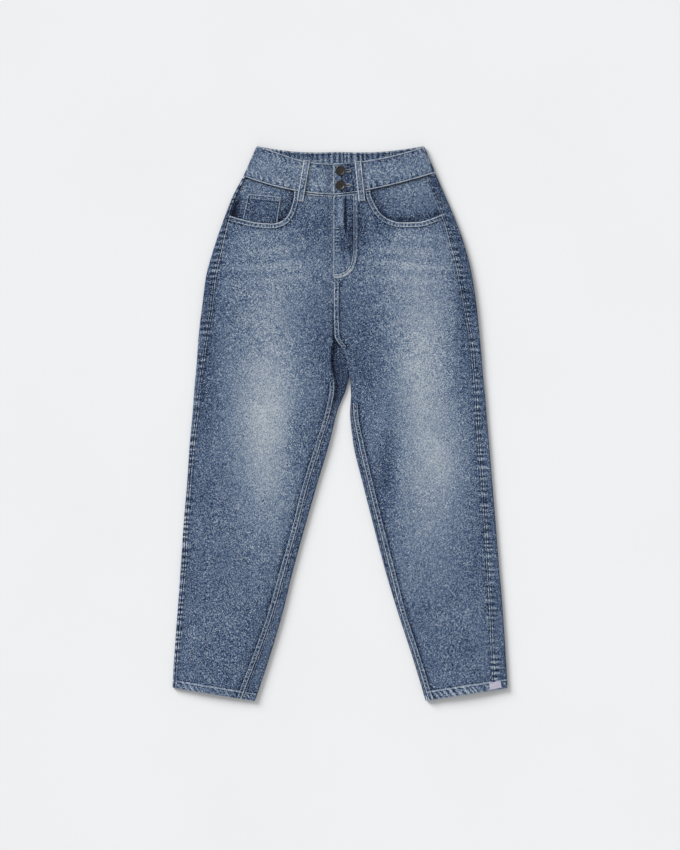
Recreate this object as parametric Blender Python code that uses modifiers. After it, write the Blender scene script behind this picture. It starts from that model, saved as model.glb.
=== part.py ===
"""High-waisted mom jeans laid flat on their back, front side up, in denim.

+X is the wearer's left, +Y runs up to the waist and +Z is up from the surface that the jeans lie on.
Every table and every function below works in millimetres. Blender gets metres.

Each leg, with its half of the seat, is a flattened tube. A place on its outer surface is given by how far
down the leg it is, as a number of stations (0 is the waist seam, 18 the hem), and by a place round the ring:

    0 to 1  on top, from the outseam out to where the edge turns over
    1 to 2  round the outer fold, from top to underside
    2 to 3  across the underside, to the centre back or to the inner fold
    3 to 4  round the inner fold of the leg, from underside to top
    4 to 5  on top, from the inner fold to the inseam
"""

import math
from collections import namedtuple

import bmesh
import bpy
import numpy as np
from mathutils import Vector

MM = 0.001

CLOTH = 1.2  # one layer of denim
HEM_CLOTH = 1.8  # the turned-up hem
BAND_CLOTH = 2.4  # the waistband, two layers and their seam allowance
BAND_SEAM_STEP = 0.4
BAND_PROUD = 1.2  # how far the waistband stands above the panels
SEAM_GAP = 0.3  # between two pieces that a seam joins
FOLD_REACH = 2.8  # how far a folded edge is round, seen from above
BAND_FOLD_REACH = 3.4
YOKE_SEAM_STEP = 0.012  # the gap below the yoke, in stations
SWELL_REACH = 60.0  # how far in from a fold the cloth reaches its full height
STITCH_RIDGE = 0.7  # how far a felled seam stands up
STITCH_RIDGE_WIDTH = 9.5

CENTRE_FRONT_X = -12.5
CENTRE_BACK_X = -4.0
CROTCH_APEX = (16.4, 84.0)  # where daylight starts between the legs
SPLIT_STATION = 7  # below it the seat has parted into two legs
HEM_STATION = 18
HEM_STITCH_STATION = 17
CROTCH_RECESS = 2.6  # how deep the seat's cloth lies between the legs, under the front

Station = namedtuple("Station", "outer_x outer_y outseam front_x front_y inner_x inner_y")

# One row for each station down the leg. outer is the folded outer edge, outseam the distance from it to
# the side seam on top, front the front panel's inner edge (centre front, then inseam), and inner the
# centre back, then the leg's inner folded edge.
RIGHT_LEG = [
    Station(-174.0, 444.0, 4.5, -0.5, 410.5, -4.0, 432.0),
    Station(-192.0, 410.5, 5.5, -0.5, 378.0, -4.0, 396.0),
    Station(-210.5, 363.5, 8.0, -0.5, 336.5, -4.0, 347.0),
    Station(-227.0, 315.0, 13.0, -0.5, 297.0, -4.0, 304.0),
    Station(-241.0, 264.5, 16.0, -4.0, 257.5, -4.0, 259.0),
    Station(-248.0, 210.5, 17.0, -12.5, 205.0, -4.0, 207.0),
    Station(-251.5, 183.5, 16.0, -12.5, 178.0, -2.0, 172.0),
    Station(-254.5, 156.5, 14.5, -12.0, 153.0, 8.0, 128.0),
    Station(-258.0, 106.0, 11.0, -16.5, 115.0, 16.0, 88.0),
    Station(-262.0, 63.0, 9.0, -9.0, 66.5, 10.5, 61.0),
    Station(-265.0, 21.5, 8.0, -15.5, 25.0, -4.0, 25.0),
    Station(-270.5, -38.0, 6.5, -34.5, -38.0, -20.0, -38.0),
    Station(-275.0, -106.0, 5.0, -57.5, -112.5, -42.5, -113.5),
    Station(-281.0, -176.5, 5.0, -77.5, -192.0, -65.0, -192.5),
    Station(-286.0, -250.0, 7.0, -100.0, -270.5, -86.5, -272.0),
    Station(-291.0, -322.0, 5.5, -121.0, -345.5, -105.0, -347.5),
    Station(-296.5, -396.0, 4.5, -147.0, -418.5, -127.0, -421.0),
    Station(-300.5, -461.5, 3.6, -171.0, -481.5, -148.5, -485.0),
    Station(-300.5, -475.0, 3.6, -176.0, -495.0, -154.0, -498.5),
]
LEFT_LEG = [
    Station(171.5, 450.0, 13.5, -12.0, 410.5, -4.0, 432.0),
    Station(185.5, 417.5, 18.0, -12.0, 378.0, -4.0, 396.0),
    Station(205.5, 371.0, 18.5, -12.0, 336.5, -4.0, 347.0),
    Station(225.0, 317.0, 23.0, -12.0, 297.0, -4.0, 304.0),
    Station(238.0, 263.0, 23.0, -12.0, 257.5, -4.0, 259.0),
    Station(246.0, 208.0, 21.0, -12.0, 205.0, -4.0, 207.0),
    Station(251.0, 160.0, 17.0, -10.5, 158.5, 4.0, 150.0),
    Station(254.0, 128.0, 16.0, 6.0, 130.5, 10.0, 127.0),
    Station(257.5, 84.5, 15.5, 17.0, 86.0, 17.0, 86.0),
    Station(261.0, 50.5, 16.0, 22.0, 50.5, 19.8, 52.0),
    Station(263.5, 18.0, 17.0, 23.0, 18.0, 18.2, 18.0),
    Station(268.0, -34.0, 18.0, 32.5, -34.0, 23.5, -34.0),
    Station(274.0, -108.0, 18.0, 50.5, -111.5, 42.0, -112.5),
    Station(280.0, -180.0, 18.5, 69.0, -186.5, 61.0, -187.0),
    Station(286.0, -255.5, 20.0, 89.0, -264.5, 82.0, -266.5),
    Station(292.0, -326.0, 21.5, 108.0, -338.5, 104.0, -339.5),
    Station(297.0, -398.0, 23.5, 132.5, -414.0, 128.7, -415.0),
    Station(300.5, -461.0, 24.0, 153.0, -480.5, 149.2, -481.5),
    Station(300.5, -475.5, 24.0, 158.5, -497.5, 154.7, -498.5),
]

Profile = namedtuple("Profile", "y lift edge swell")

# How high the flattened tube stands along the garment: lift is what holds its underside off the surface
# (back pockets and back loops), edge the height of its folded edges, swell the rise of its middle.
PROFILES = [
    Profile(500.0, 1.6, 7.0, 1.6),
    Profile(300.0, 1.6, 7.0, 1.8),
    Profile(195.0, 1.6, 7.0, 2.2),
    Profile(60.0, 0.3, 7.0, 2.6),
    Profile(0.0, 0.0, 7.0, 2.8),
    Profile(-120.0, 0.0, 7.0, 2.6),
    Profile(-300.0, 0.0, 7.0, 2.2),
    Profile(-440.0, 0.0, 7.2, 2.0),
    Profile(-500.0, 0.0, 7.6, 2.2),
]

Fold = namedtuple("Fold", "x0 y0 x1 y1 height width")

# The largest folds of the front, as soft ridges (height above 0) and troughs (below 0).
FOLDS = [
    Fold(100.0, 0.0, 78.0, -150.0, -1.7, 13.0),
    Fold(16.0, 142.0, 62.0, 60.0, -1.1, 8.0),
    Fold(34.0, 150.0, 92.0, 84.0, 0.8, 9.0),
    Fold(-28.0, 150.0, -96.0, 96.0, 0.8, 10.0),
    Fold(-70.0, 40.0, -98.0, -120.0, -1.0, 12.0),
    Fold(-215.0, 278.0, -70.0, 262.0, 0.6, 7.0),
    Fold(80.0, 255.0, 205.0, 284.0, 0.6, 7.0),
    Fold(6.0, 398.0, 4.0, 352.0, 0.9, 5.0),
]

# The mouth of each front pocket, from above the waist seam down and round to the outseam.
RIGHT_MOUTH = [
    (-81.5, 432.0),
    (-82.7, 408.0),
    (-86.9, 391.0),
    (-93.5, 374.5),
    (-105.5, 363.5),
    (-122.0, 359.5),
    (-147.0, 361.0),
    (-175.5, 367.0),
    (-199.5, 374.0),
    (-222.0, 382.0),
]
LEFT_MOUTH = [
    (53.0, 432.0),
    (55.7, 410.0),
    (62.0, 395.0),
    (72.3, 378.5),
    (89.0, 366.5),
    (109.5, 361.5),
    (138.5, 362.0),
    (163.0, 368.0),
    (184.0, 376.5),
    (214.0, 391.0),
]

Band = namedtuple("Band", "corner_x corner_y front_x front_y seam_bow ease bow")

# The waistband's top corner, its top edge at the centre front, and how much the waist seam and the top
# edge sag on the way there.
RIGHT_BAND = Band(-150.0, 498.5, -12.5, 467.5, 2.0, 1.4, 2.6)
LEFT_BAND = Band(151.5, 498.5, -12.5, 468.0, 1.45, 1.0, 1.85)
BACK_BAND_TOP_Y = 488.5  # the waistband's top edge at the centre back
BAND_UNDERLAP = 26.0  # how far the right end of the band runs on under the left one
BAND_TUCK = BAND_CLOTH + SEAM_GAP
PANEL_TUCK = CLOTH + 0.4
TUCK_START, TUCK_END = 16.0, 2.0  # how far before the centre front the cloth dips

BUTTON_X = 0.5
BUTTON_YS = {"button_upper": 454.0, "button_lower": 428.0}
BUTTON_RADIUS = 9.0
SHANK_RADIUS = 2.0
EYE_RADIUS = 2.6
SLIT_WIDTH = 1.8
SLIT_END_X = 18.0

LOOP_WIDTH = 12.5
LOOP_CLOTH = 1.3
LOOP_LENGTH = 74.0

# Colours are sRGB shares; each line is colour, roughness, metallic.
FINISHES = {
    "denim": ((0.40, 0.49, 0.62), 0.92, 0.0),
    "denim_dark": ((0.24, 0.32, 0.46), 0.92, 0.0),
    "denim_band": ((0.42, 0.49, 0.60), 0.92, 0.0),
    "button_metal": ((0.27, 0.26, 0.26), 0.45, 1.0),
    "zip_tape": ((0.20, 0.25, 0.36), 0.85, 0.0),
    "label": ((0.72, 0.70, 0.76), 0.80, 0.0),
}

# How coarsely the panels are meshed.
FRONT_SHARES = (0.10, 0.2, 0.36, 0.52, 0.68, 0.84)
FOLD_STEPS = 5
UNDER_STEPS = 5
ROWS = [round(v, 3) for v in np.arange(0.0, 6.1, 0.5)]
ROWS += [6.5, 7.0, 7.33, 7.67, 8.0, 8.5, 9.0, 9.5, 10.0]
ROWS += [round(v, 3) for v in np.arange(10.5, 16.6, 0.5)] + [16.75, 17.0, 17.2, 18.0]


def smooth(t):
    """An ease from 0 to 1 as t goes from 0 to 1."""
    t = min(1.0, max(0.0, t))
    return t * t * (3.0 - 2.0 * t)


def slopes(values):
    """The slope at each of a row of values that lets no curve through them overshoot."""
    steps = np.diff(values)
    inner = [
        0.0 if a * b <= 0.0 else 2.0 * a * b / (a + b)
        for a, b in zip(steps[:-1], steps[1:])
    ]
    return [steps[0], *inner, steps[-1]]


def between(values, place):
    """A smooth curve through the values, read at a place counted in values."""
    index = int(min(max(place, 0.0), len(values) - 1.000001))
    t = place - index
    slope = slopes(values)
    start, end = values[index], values[index + 1]
    return (
        start
        + (end - start) * smooth(t)
        + slope[index] * t * (1.0 - t) ** 2
        - slope[index + 1] * t * t * (1.0 - t)
    )


def station(leg, place):
    """The leg's measures at a place down it."""
    return Station(*(between([row[k] for row in leg], place) for k in range(len(Station._fields))))


def profile(y):
    """Lift, edge and swell at a height up the garment."""
    rows = PROFILES[::-1]
    ys = [row.y for row in rows]
    return [float(np.interp(y, ys, [row[k] for row in rows])) for k in (1, 2, 3)]


def parting_x(y):
    """The centre back seam, and below it the line where one leg's cloth meets the other's."""
    return CENTRE_BACK_X + (CROTCH_APEX[0] - CENTRE_BACK_X) * smooth((200.0 - y) / (200.0 - CROTCH_APEX[1]))


def side_of(leg):
    """1 for the left leg, -1 for the right."""
    return 1.0 if leg is LEFT_LEG else -1.0


def inner_point(leg, row):
    """The centre back, or the leg's inner edge, seen from above."""
    if row.inner_y <= CROTCH_APEX[1]:
        return np.array((row.inner_x, row.inner_y))
    return np.array((parting_x(row.inner_y) + side_of(leg) * SEAM_GAP, row.inner_y))


def recess(y):
    """How far the cloth between the legs lies below the front, at a height up the garment."""
    return CROTCH_RECESS * smooth((y + 10.0) / 50.0)


def fold_relief(x, y):
    """The height that the large folds add at a point."""
    total = 0.0
    for fold in FOLDS:
        along = np.array((fold.x1 - fold.x0, fold.y1 - fold.y0))
        length = float(np.hypot(*along))
        away = np.array((x - fold.x0, y - fold.y0))
        share = float(away @ along) / length**2
        across = abs(float(away[0] * along[1] - away[1] * along[0])) / length
        fade = smooth(share / 0.3) * smooth((1.0 - share) / 0.3)
        total += fold.height * fade * smooth(1.0 - across / (2.0 * fold.width))
    return total


def reach_across(row):
    """The width of the front, from its outer edge to its inner one."""
    return float(np.hypot(row.front_x - row.outer_x, row.front_y - row.outer_y))


def bow(leg, place, share):
    """How far down the row's slope its line has come at a share of its width: rows sag near the waist."""
    band = LEFT_BAND if leg is LEFT_LEG else RIGHT_BAND
    power = 1.0 + (band.seam_bow - 1.0) * smooth(1.0 - place / 3.0)
    return 1.0 - (1.0 - share) ** power


def front_plan(leg, place, share):
    """A point of the front seen from above: share 0 is the outer edge and 1 the front panel's inner edge."""
    row = station(leg, place)
    x = row.outer_x + (row.front_x - row.outer_x) * share
    y = row.outer_y + (row.front_y - row.outer_y) * bow(leg, place, share)
    return np.array((x, y))


def top_height(leg, place, plan):
    """The height of the front's outer surface, without seams or folds."""
    row = station(leg, place)
    lift, edge, swell = profile(plan[1])
    from_outer = abs(plan[0] - row.outer_x)
    from_inner = float(np.hypot(*(plan - inner_point(leg, row))))
    parted = smooth((place - 6.0) / 3.0)
    rise = smooth((from_outer - FOLD_REACH) / SWELL_REACH)
    rise *= 1.0 - parted * (1.0 - smooth((from_inner - FOLD_REACH) / SWELL_REACH))
    return lift + edge + swell * rise


def tuck(leg, place, x, depth):
    """How far the right side dips to pass under the fly and the band's left end."""
    if leg is LEFT_LEG:
        return 0.0
    fade = 1.0 - smooth((place - 5.5) / 2.0)
    return depth * fade * smooth((x - CENTRE_FRONT_X + TUCK_START) / (TUCK_START - TUCK_END))


def fly_relief(leg, place, x):
    """The doubled cloth inside the fly's J-shaped stitching."""
    if leg is not LEFT_LEG or place > 4.4:
        return 0.0
    reach = 42.0 * math.sqrt(max(0.0, 1.0 - smooth((place - 3.1) / 1.2) ** 2))
    return 0.5 * smooth((CENTRE_FRONT_X + reach - x) / 4.0 + 0.5)


def seam_relief(leg, place, from_inseam):
    """The felled seam that runs down the fly's end and along the inseam."""
    start = 4.2 if leg is LEFT_LEG else 7.0
    ridge = smooth(from_inseam / 1.2) * smooth((STITCH_RIDGE_WIDTH + 1.5 - from_inseam) / 1.5)
    return STITCH_RIDGE * ridge * smooth((place - start) / 0.4)


def front_point(leg, place, from_inseam):
    """A point on the front panel's outer surface, by its distance from the panel's inner edge."""
    row = station(leg, place)
    plan = front_plan(leg, place, 1.0 - from_inseam / reach_across(row))
    z = top_height(leg, place, plan)
    z += seam_relief(leg, place, from_inseam) + fly_relief(leg, place, plan[0])
    z += fold_relief(*plan) - tuck(leg, place, plan[0], PANEL_TUCK)
    return np.array((*plan, z))


def turned_edge(start, towards, reach, angle, base, height):
    """A point round a folded edge: angle 0 is underneath, 180 degrees on top."""
    plan = start + towards * reach * (1.0 - math.sin(angle))
    return np.array((*plan, base + height * (1.0 - math.cos(angle)) / 2.0))


def unit(vector):
    return vector / float(np.hypot(*vector))


def ring_point(leg, place, ring):
    """A point on the back panel's outer surface, from the outseam round the underside to the inseam."""
    row = station(leg, place)
    outer = np.array((row.outer_x, row.outer_y))
    front = np.array((row.front_x, row.front_y))
    inner = inner_point(leg, row)
    lift, edge, _ = profile(row.outer_y)
    if ring <= 1.0:
        away = row.outseam - SEAM_GAP + (FOLD_REACH - row.outseam + SEAM_GAP) * ring
        plan = front_plan(leg, place, away / reach_across(row))
        return np.array((*plan, top_height(leg, place, plan)))
    if ring <= 2.0:
        angle = math.pi * (2.0 - ring)
        on_top = front_plan(leg, place, FOLD_REACH / reach_across(row)) - outer
        towards = unit(on_top) if ring < 1.5 else unit(inner - outer)
        return turned_edge(outer, towards, FOLD_REACH, angle, profile(row.outer_y)[0], edge)
    opened = FOLD_REACH * min(1.0, max(0.0, place - SPLIT_STATION + 1.0))
    if ring <= 3.0:
        start = outer + unit(inner - outer) * FOLD_REACH
        end = inner - unit(inner - outer) * opened
        plan = start + (end - start) * (ring - 2.0)
        return np.array((*plan, profile(plan[1])[0]))
    lift, edge, _ = profile(row.inner_y)
    height = edge - recess(row.inner_y)
    inwards = unit(outer - inner)
    to_seam = front - inner
    width = float(to_seam @ inwards)
    if width < FOLD_REACH + 2.0 * SEAM_GAP:
        to_seam, width = inwards, FOLD_REACH + 2.0 * SEAM_GAP
    else:
        width = float(np.hypot(*to_seam))
    if ring <= 4.0:
        angle = math.pi * (ring - 3.0)
        towards = inwards if ring < 3.5 else unit(to_seam)
        return turned_edge(inner, towards, FOLD_REACH, angle, lift, height)
    away = FOLD_REACH + (width - SEAM_GAP - FOLD_REACH) * (ring - 4.0)
    return np.array((*(inner + unit(to_seam) * away), lift + height))


def yoke_seam(ring):
    """How far down the leg the yoke's seam is, at a place round the ring: it dips to the centre back."""
    return 1.4 + 0.55 * min(1.0, max(0.0, ring - 2.0))


def material(finish):
    """The finish as a Principled material, made once."""
    if finish in bpy.data.materials:
        return bpy.data.materials[finish]
    colour, roughness, metallic = FINISHES[finish]
    made = bpy.data.materials.new(finish)
    made.use_nodes = True
    shader = made.node_tree.nodes["Principled BSDF"]
    shader.inputs["Base Color"].default_value = (*(c**2.2 for c in colour), 1.0)
    shader.inputs["Roughness"].default_value = roughness
    shader.inputs["Metallic"].default_value = metallic
    return made


def finished(name, mesh, finish, collection):
    """The mesh as a named object in the collection, shaded smooth but for its corners."""
    mesh.materials.append(material(finish))
    mesh.shade_smooth()
    mesh.set_sharp_from_angle(angle=math.radians(40))
    made = bpy.data.objects.new(name, mesh)
    collection.objects.link(made)
    return made


def add_grid(bm, columns, rows, point):
    """A sheet of quads in the bmesh, each crossing placed by point(column, row)."""
    grid = bmesh.ops.create_grid(bm, x_segments=len(columns) - 1, y_segments=len(rows) - 1, size=1.0)
    for vert in grid["verts"]:
        i = round((vert.co.x + 1.0) / 2.0 * (len(columns) - 1))
        j = round((vert.co.y + 1.0) / 2.0 * (len(rows) - 1))
        vert.co = Vector(point(columns[i], rows[j])) * MM


def cloth(name, grids, thickness, finish, collection, flip=False, hem=None):
    """One piece of cloth: its outer surface from grids, welded where they meet, and a wall given inwards.

    hem(vertex) tells which vertices lie in the hem, where the wall is thicker.
    """
    bm = bmesh.new()
    for columns, rows, point in grids:
        add_grid(bm, columns, rows, point)
    bmesh.ops.remove_doubles(bm, verts=bm.verts, dist=0.00002)
    if flip:
        bmesh.ops.reverse_faces(bm, faces=bm.faces)
    mesh = bpy.data.meshes.new(name)
    bm.to_mesh(mesh)
    bm.free()
    made = finished(name, mesh, finish, collection)
    wall = made.modifiers.new("wall", "SOLIDIFY")
    wall.thickness = thickness * MM
    wall.offset = -1.0
    if hem is not None:
        wall.thickness = HEM_CLOTH * MM
        group = made.vertex_groups.new(name="thick")
        for vert in mesh.vertices:
            group.add([vert.index], 1.0 if hem(vert.co / MM) else thickness / HEM_CLOTH, "REPLACE")
        wall.vertex_group = group.name
    return made


def steps(start, end, count):
    """Evenly spaced values from start to end, count steps apart."""
    return [start + (end - start) * k / count for k in range(count + 1)]


def in_hem(leg):
    """Whether a vertex lies in the leg's hem."""
    stitch = station(leg, HEM_STITCH_STATION)
    slope = (stitch.inner_y - stitch.outer_y) / (stitch.inner_x - stitch.outer_x)

    def test(co):
        return co.y < stitch.outer_y + slope * (co.x - stitch.outer_x) + 1.0

    return test


def front_panel(name, leg, mouth, collection, cutters):
    """The front of one leg, from waist seam to hem, with its pocket mouth cut away."""

    def point(column, place):
        row = station(leg, place)
        from_edge, share = column
        span = reach_across(row) - row.outseam
        reach = span - STITCH_RIDGE_WIDTH - 12.0
        across = {0.0: from_edge, 1.0: span - from_edge}.get(share, 11.0 + reach * share)
        return front_point(leg, place, across)

    columns = [(0.0, 0.0), (1.2, 0.0), (STITCH_RIDGE_WIDTH, 0.0), (11.0, 0.0)]
    columns += [(0.0, share) for share in FRONT_SHARES]
    columns += [(10.0, 1.0), (0.0, 1.0)]
    rows = [0.02, *ROWS[1:]]
    made = cloth(name, [(columns, rows, point)], CLOTH, "denim", collection, leg is LEFT_LEG, in_hem(leg))
    cutter = prism(name + "_mouth", [*curved(mouth), *mouth_corners(mouth)], cutters)
    cut(made, cutter)
    return made


def mouth_corners(mouth):
    """Three far corners that close a pocket mouth's outline outside the panel."""
    outwards = 1.0 if mouth[-1][0] > 0 else -1.0
    far_x = mouth[-1][0] + 40.0 * outwards
    return [(far_x, mouth[-1][1]), (far_x, 520.0), (mouth[0][0], 520.0)]


def curved(points, per_step=4):
    """A smooth line through the points."""
    xs, ys = zip(*points)
    places = steps(0.0, len(points) - 1.0, per_step * (len(points) - 1))
    return [(between(xs, place), between(ys, place)) for place in places]


def prism(name, outline, collection):
    """A cutter with that outline seen from above, taller than the garment."""
    curve = bpy.data.curves.new(name, "CURVE")
    curve.dimensions = "2D"
    curve.fill_mode = "BOTH"
    curve.extrude = 20.0 * MM
    line = curve.splines.new("POLY")
    line.points.add(len(outline) - 1)
    for spot, (x, y) in zip(line.points, outline):
        spot.co = (x * MM, y * MM, 0.0, 1.0)
    line.use_cyclic_u = True
    drawn = bpy.data.objects.new(name + "_outline", curve)
    collection.objects.link(drawn)
    bpy.context.view_layer.update()
    mesh = bpy.data.meshes.new_from_object(drawn.evaluated_get(bpy.context.evaluated_depsgraph_get()))
    bpy.data.objects.remove(drawn)
    bm = bmesh.new()
    bm.from_mesh(mesh)
    bmesh.ops.remove_doubles(bm, verts=bm.verts, dist=0.00001)
    bmesh.ops.recalc_face_normals(bm, faces=bm.faces)
    bm.to_mesh(mesh)
    bm.free()
    made = bpy.data.objects.new(name, mesh)
    made.hide_render = True
    made.display_type = "WIRE"
    collection.objects.link(made)
    return made


def cut(target, cutter):
    opening = target.modifiers.new("opening", "BOOLEAN")
    opening.operation = "DIFFERENCE"
    opening.solver = "EXACT"
    opening.object = cutter


def back_panel(name, leg, collection):
    """The back of one leg, below the yoke. It comes round both folded edges to the seams on top."""
    first = yoke_seam(0.0) + YOKE_SEAM_STEP
    rows = [first, *(row for row in ROWS if row > first)]
    lower = [row for row in rows if row >= SPLIT_STATION]
    around = [0.0, *steps(1.0, 2.0, FOLD_STEPS), *steps(2.0, 3.0, UNDER_STEPS)[1:]]
    inside = [*steps(3.0, 4.0, FOLD_STEPS), 5.0]

    def outer_part(ring, row):
        lowered = max(0.0, 3.0 - row) * (yoke_seam(ring) - yoke_seam(0.0)) / (3.0 - first)
        return ring_point(leg, row + lowered, ring)

    def inner_part(ring, row):
        return ring_point(leg, row, ring)

    grids = [(around, rows, outer_part), (inside, lower, inner_part)]
    return cloth(name, grids, CLOTH, "denim", collection, leg is LEFT_LEG, in_hem(leg))


def yoke(name, leg, collection):
    """The back yoke, which comes round the side to the outseam on top."""
    around = [0.0, *steps(1.0, 2.0, FOLD_STEPS), *steps(2.0, 3.0, UNDER_STEPS)[1:]]

    def point(ring, share):
        return ring_point(leg, 0.02 + (yoke_seam(ring) - 0.02) * share, ring)

    grid = (around, steps(0.0, 1.0, 3), point)
    return cloth(name, [grid], CLOTH, "denim", collection, leg is LEFT_LEG)


def band_of(leg):
    return LEFT_BAND if leg is LEFT_LEG else RIGHT_BAND


def band_front_plan(leg, share, up):
    """A point of the front waistband seen from above: share 0 is the side fold and 1 the centre front."""
    band, row = band_of(leg), leg[0]
    low_x = row.outer_x + (CENTRE_FRONT_X - row.outer_x) * share
    on_panel = min(1.0, (low_x - row.outer_x) / (row.front_x - row.outer_x))
    low_y = front_plan(leg, 0.0, on_panel)[1] + BAND_SEAM_STEP
    drop = 1.0 - max(0.0, 1.0 - share**band.ease) ** band.bow
    high_x = band.corner_x + (band.front_x - band.corner_x) * share
    high_y = band.corner_y + (band.front_y - band.corner_y) * drop
    return np.array((low_x + (high_x - low_x) * up, low_y + (high_y - low_y) * up))


def band_height(leg, plan, from_side):
    lift, edge, swell = profile(plan[1])
    return lift + edge + BAND_PROUD + swell * smooth((from_side - BAND_FOLD_REACH) / SWELL_REACH)


def front_band(name, leg, collection):
    """One front half of the waistband. The right one runs on under the left one's buttonholes."""
    leg_width = abs(CENTRE_FRONT_X - leg[0].outer_x)
    start = (BAND_FOLD_REACH + 0.5 + SEAM_GAP) / leg_width
    shares = [start, 0.12, 0.24, 0.4, 0.56, 0.7, 0.82, 0.9]
    if leg is LEFT_LEG:
        shares += [1.0]
    else:
        shares += [1.0 - TUCK_END / leg_width, 1.0 + BAND_UNDERLAP / leg_width]

    def point(share, up):
        plan = band_front_plan(leg, share, up)
        z = band_height(leg, plan, share * leg_width)
        return np.array((*plan, z - tuck(leg, 0.0, plan[0], BAND_TUCK)))

    grid = (shares, steps(0.0, 1.0, 4), point)
    return cloth(name, [grid], BAND_CLOTH, "denim_band", collection, leg is LEFT_LEG)


def back_band(name, collection):
    """The back of the waistband, from one side fold round the underside to the other."""

    def side_points(leg, ring, up):
        band, row = band_of(leg), leg[0]
        low = np.array((row.outer_x, row.outer_y + 0.4))
        edge_plan = low + (np.array((band.corner_x, band.corner_y)) - low) * up
        middle_low = np.array((CENTRE_BACK_X, row.inner_y + 0.4))
        middle = middle_low + (np.array((CENTRE_BACK_X, BACK_BAND_TOP_Y)) - middle_low) * up
        lift, edge, _ = profile(edge_plan[1])
        height = edge + BAND_PROUD
        if ring <= 1.0:
            leg_width = abs(CENTRE_FRONT_X - row.outer_x)
            plan = band_front_plan(leg, (BAND_FOLD_REACH + 0.5 * (1.0 - ring)) / leg_width, up)
            return np.array((*plan, lift + height))
        if ring <= 2.0:
            ahead = band_front_plan(leg, 0.03, up) - edge_plan
            towards = unit(ahead) if ring < 1.5 else unit(middle - edge_plan)
            return turned_edge(edge_plan, towards, BAND_FOLD_REACH, math.pi * (2.0 - ring), lift, height)
        start = edge_plan + unit(middle - edge_plan) * BAND_FOLD_REACH
        share = ring - 2.0
        plan = start + (middle - start) * share
        plan[1] -= (start[1] - middle[1]) * 0.5 * math.sin(math.pi * share) * up
        return np.array((*plan, lift))

    def point(ring, up):
        return side_points(RIGHT_LEG, ring, up) if ring <= 3.0 else side_points(LEFT_LEG, 6.0 - ring, up)

    half = [0.0, *steps(1.0, 2.0, FOLD_STEPS), *steps(2.0, 3.0, UNDER_STEPS)[1:]]
    rings = half + [6.0 - ring for ring in reversed(half[:-1])]
    grid = (rings, steps(0.0, 1.0, 4), point)
    return cloth(name, [grid], BAND_CLOTH, "denim_band", collection, True)


def mouth_y(mouth, x):
    """How far up the pocket mouth's edge is at a place across its lower part."""
    line = sorted(curved(mouth)[4:])
    return float(np.interp(x, [p[0] for p in line], [p[1] for p in line]))


FACING_CLOTH = 1.0
FACING_BELOW = CLOTH + SEAM_GAP + 0.12


def facing_height(leg, place, plan):
    """The pocket facing's upper surface: just under the front panel, hollowed beside the coin pocket."""
    z = top_height(leg, place, plan) - FACING_BELOW
    if leg is RIGHT_LEG:
        hollow = smooth(1.0 - abs(plan[0] + 186.0 - (plan[1] - 395.0) * 0.25) / 12.0)
        z -= 1.2 * hollow * smooth((418.0 - plan[1]) / 20.0) * smooth((plan[1] - 352.0) / 15.0)
    return z


def facing(name, leg, mouth, collection):
    """The denim that shows inside a front pocket's mouth."""

    def point(share, place):
        row = station(leg, place)
        width = reach_across(row)
        end = abs(mouth[1][0] - row.outer_x) + 14.0
        plan = front_plan(leg, place, (row.outseam + 0.2 + (end - row.outseam) * share) / width)
        return np.array((*plan, facing_height(leg, place, plan)))

    grid = (steps(0.0, 1.0, 7), steps(0.03, 2.45, 6), point)
    return cloth(name, [grid], FACING_CLOTH, "denim", collection, leg is RIGHT_LEG)


COIN_CORNERS = ((-165.5, 413.5), (-105.5, 407.5), (-112.0, 364.0), (-174.5, 371.0))


def coin_pocket(name, collection):
    """The small fifth pocket on the right facing, down to the mouth's edge."""
    top_left, top_right, low_right, low_left = (np.array(c) for c in COIN_CORNERS)

    def point(share, down):
        plan = (top_left + (top_right - top_left) * share) * (1.0 - down)
        plan = plan + (low_left + (low_right - low_left) * share) * down
        floor = mouth_y(RIGHT_MOUTH, plan[0]) + 1.2
        plan[1] = max(plan[1], floor) if down < 1.0 else floor
        place = place_at(RIGHT_LEG, plan)
        z = top_height(RIGHT_LEG, place, plan) - FACING_BELOW + SEAM_GAP + 1.08
        return np.array((*plan, z))

    grid = (steps(0.0, 1.0, 5), steps(0.0, 1.0, 4), point)
    return cloth(name, [grid], 1.0, "denim_dark", collection, True)


def place_at(leg, plan):
    """How far down the leg a point of the front lies."""
    low, high = 0.0, float(HEM_STATION)
    for _ in range(24):
        middle = (low + high) / 2.0
        row = station(leg, middle)
        share = (plan[0] - row.outer_x) / (row.front_x - row.outer_x)
        if front_plan(leg, middle, min(1.0, max(0.0, share)))[1] > plan[1]:
            low = middle
        else:
            high = middle
    return (low + high) / 2.0


def front_loop(name, top, bottom, waist_y, collection):
    """A belt loop on the front, over the band and a little way down the panel."""
    top, bottom = np.array(top), np.array(bottom)
    along = unit(bottom - top)
    across = np.array((-along[1], along[0]))

    def point(side, share):
        plan = top + (bottom - top) * share + across * side * LOOP_WIDTH / 2.0
        lift, edge, swell = profile(plan[1])
        z = lift + edge + swell + BAND_PROUD * smooth((plan[1] - waist_y + 6.0) / 5.0)
        return np.array((*plan, z + SEAM_GAP + 0.3 + LOOP_CLOTH + 0.9 * math.sin(math.pi * share) ** 2))

    shares = [0.0, 0.12, 0.3, 0.5, 0.68, 0.78, 0.84, 0.92, 1.0]
    grid = ([-1.0, 0.0, 1.0], shares, point)
    return cloth(name, [grid], LOOP_CLOTH, "denim_band", collection, True)


def back_loop(name, x, top_y, collection):
    """A belt loop on the back. The garment lies on it."""

    def point(side, share):
        return np.array((x + side * LOOP_WIDTH / 2.0, top_y - LOOP_LENGTH * share, LOOP_CLOTH))

    grid = ([-1.0, 0.0, 1.0], steps(0.0, 1.0, 4), point)
    return cloth(name, [grid], LOOP_CLOTH, "denim_band", collection, True)


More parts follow.
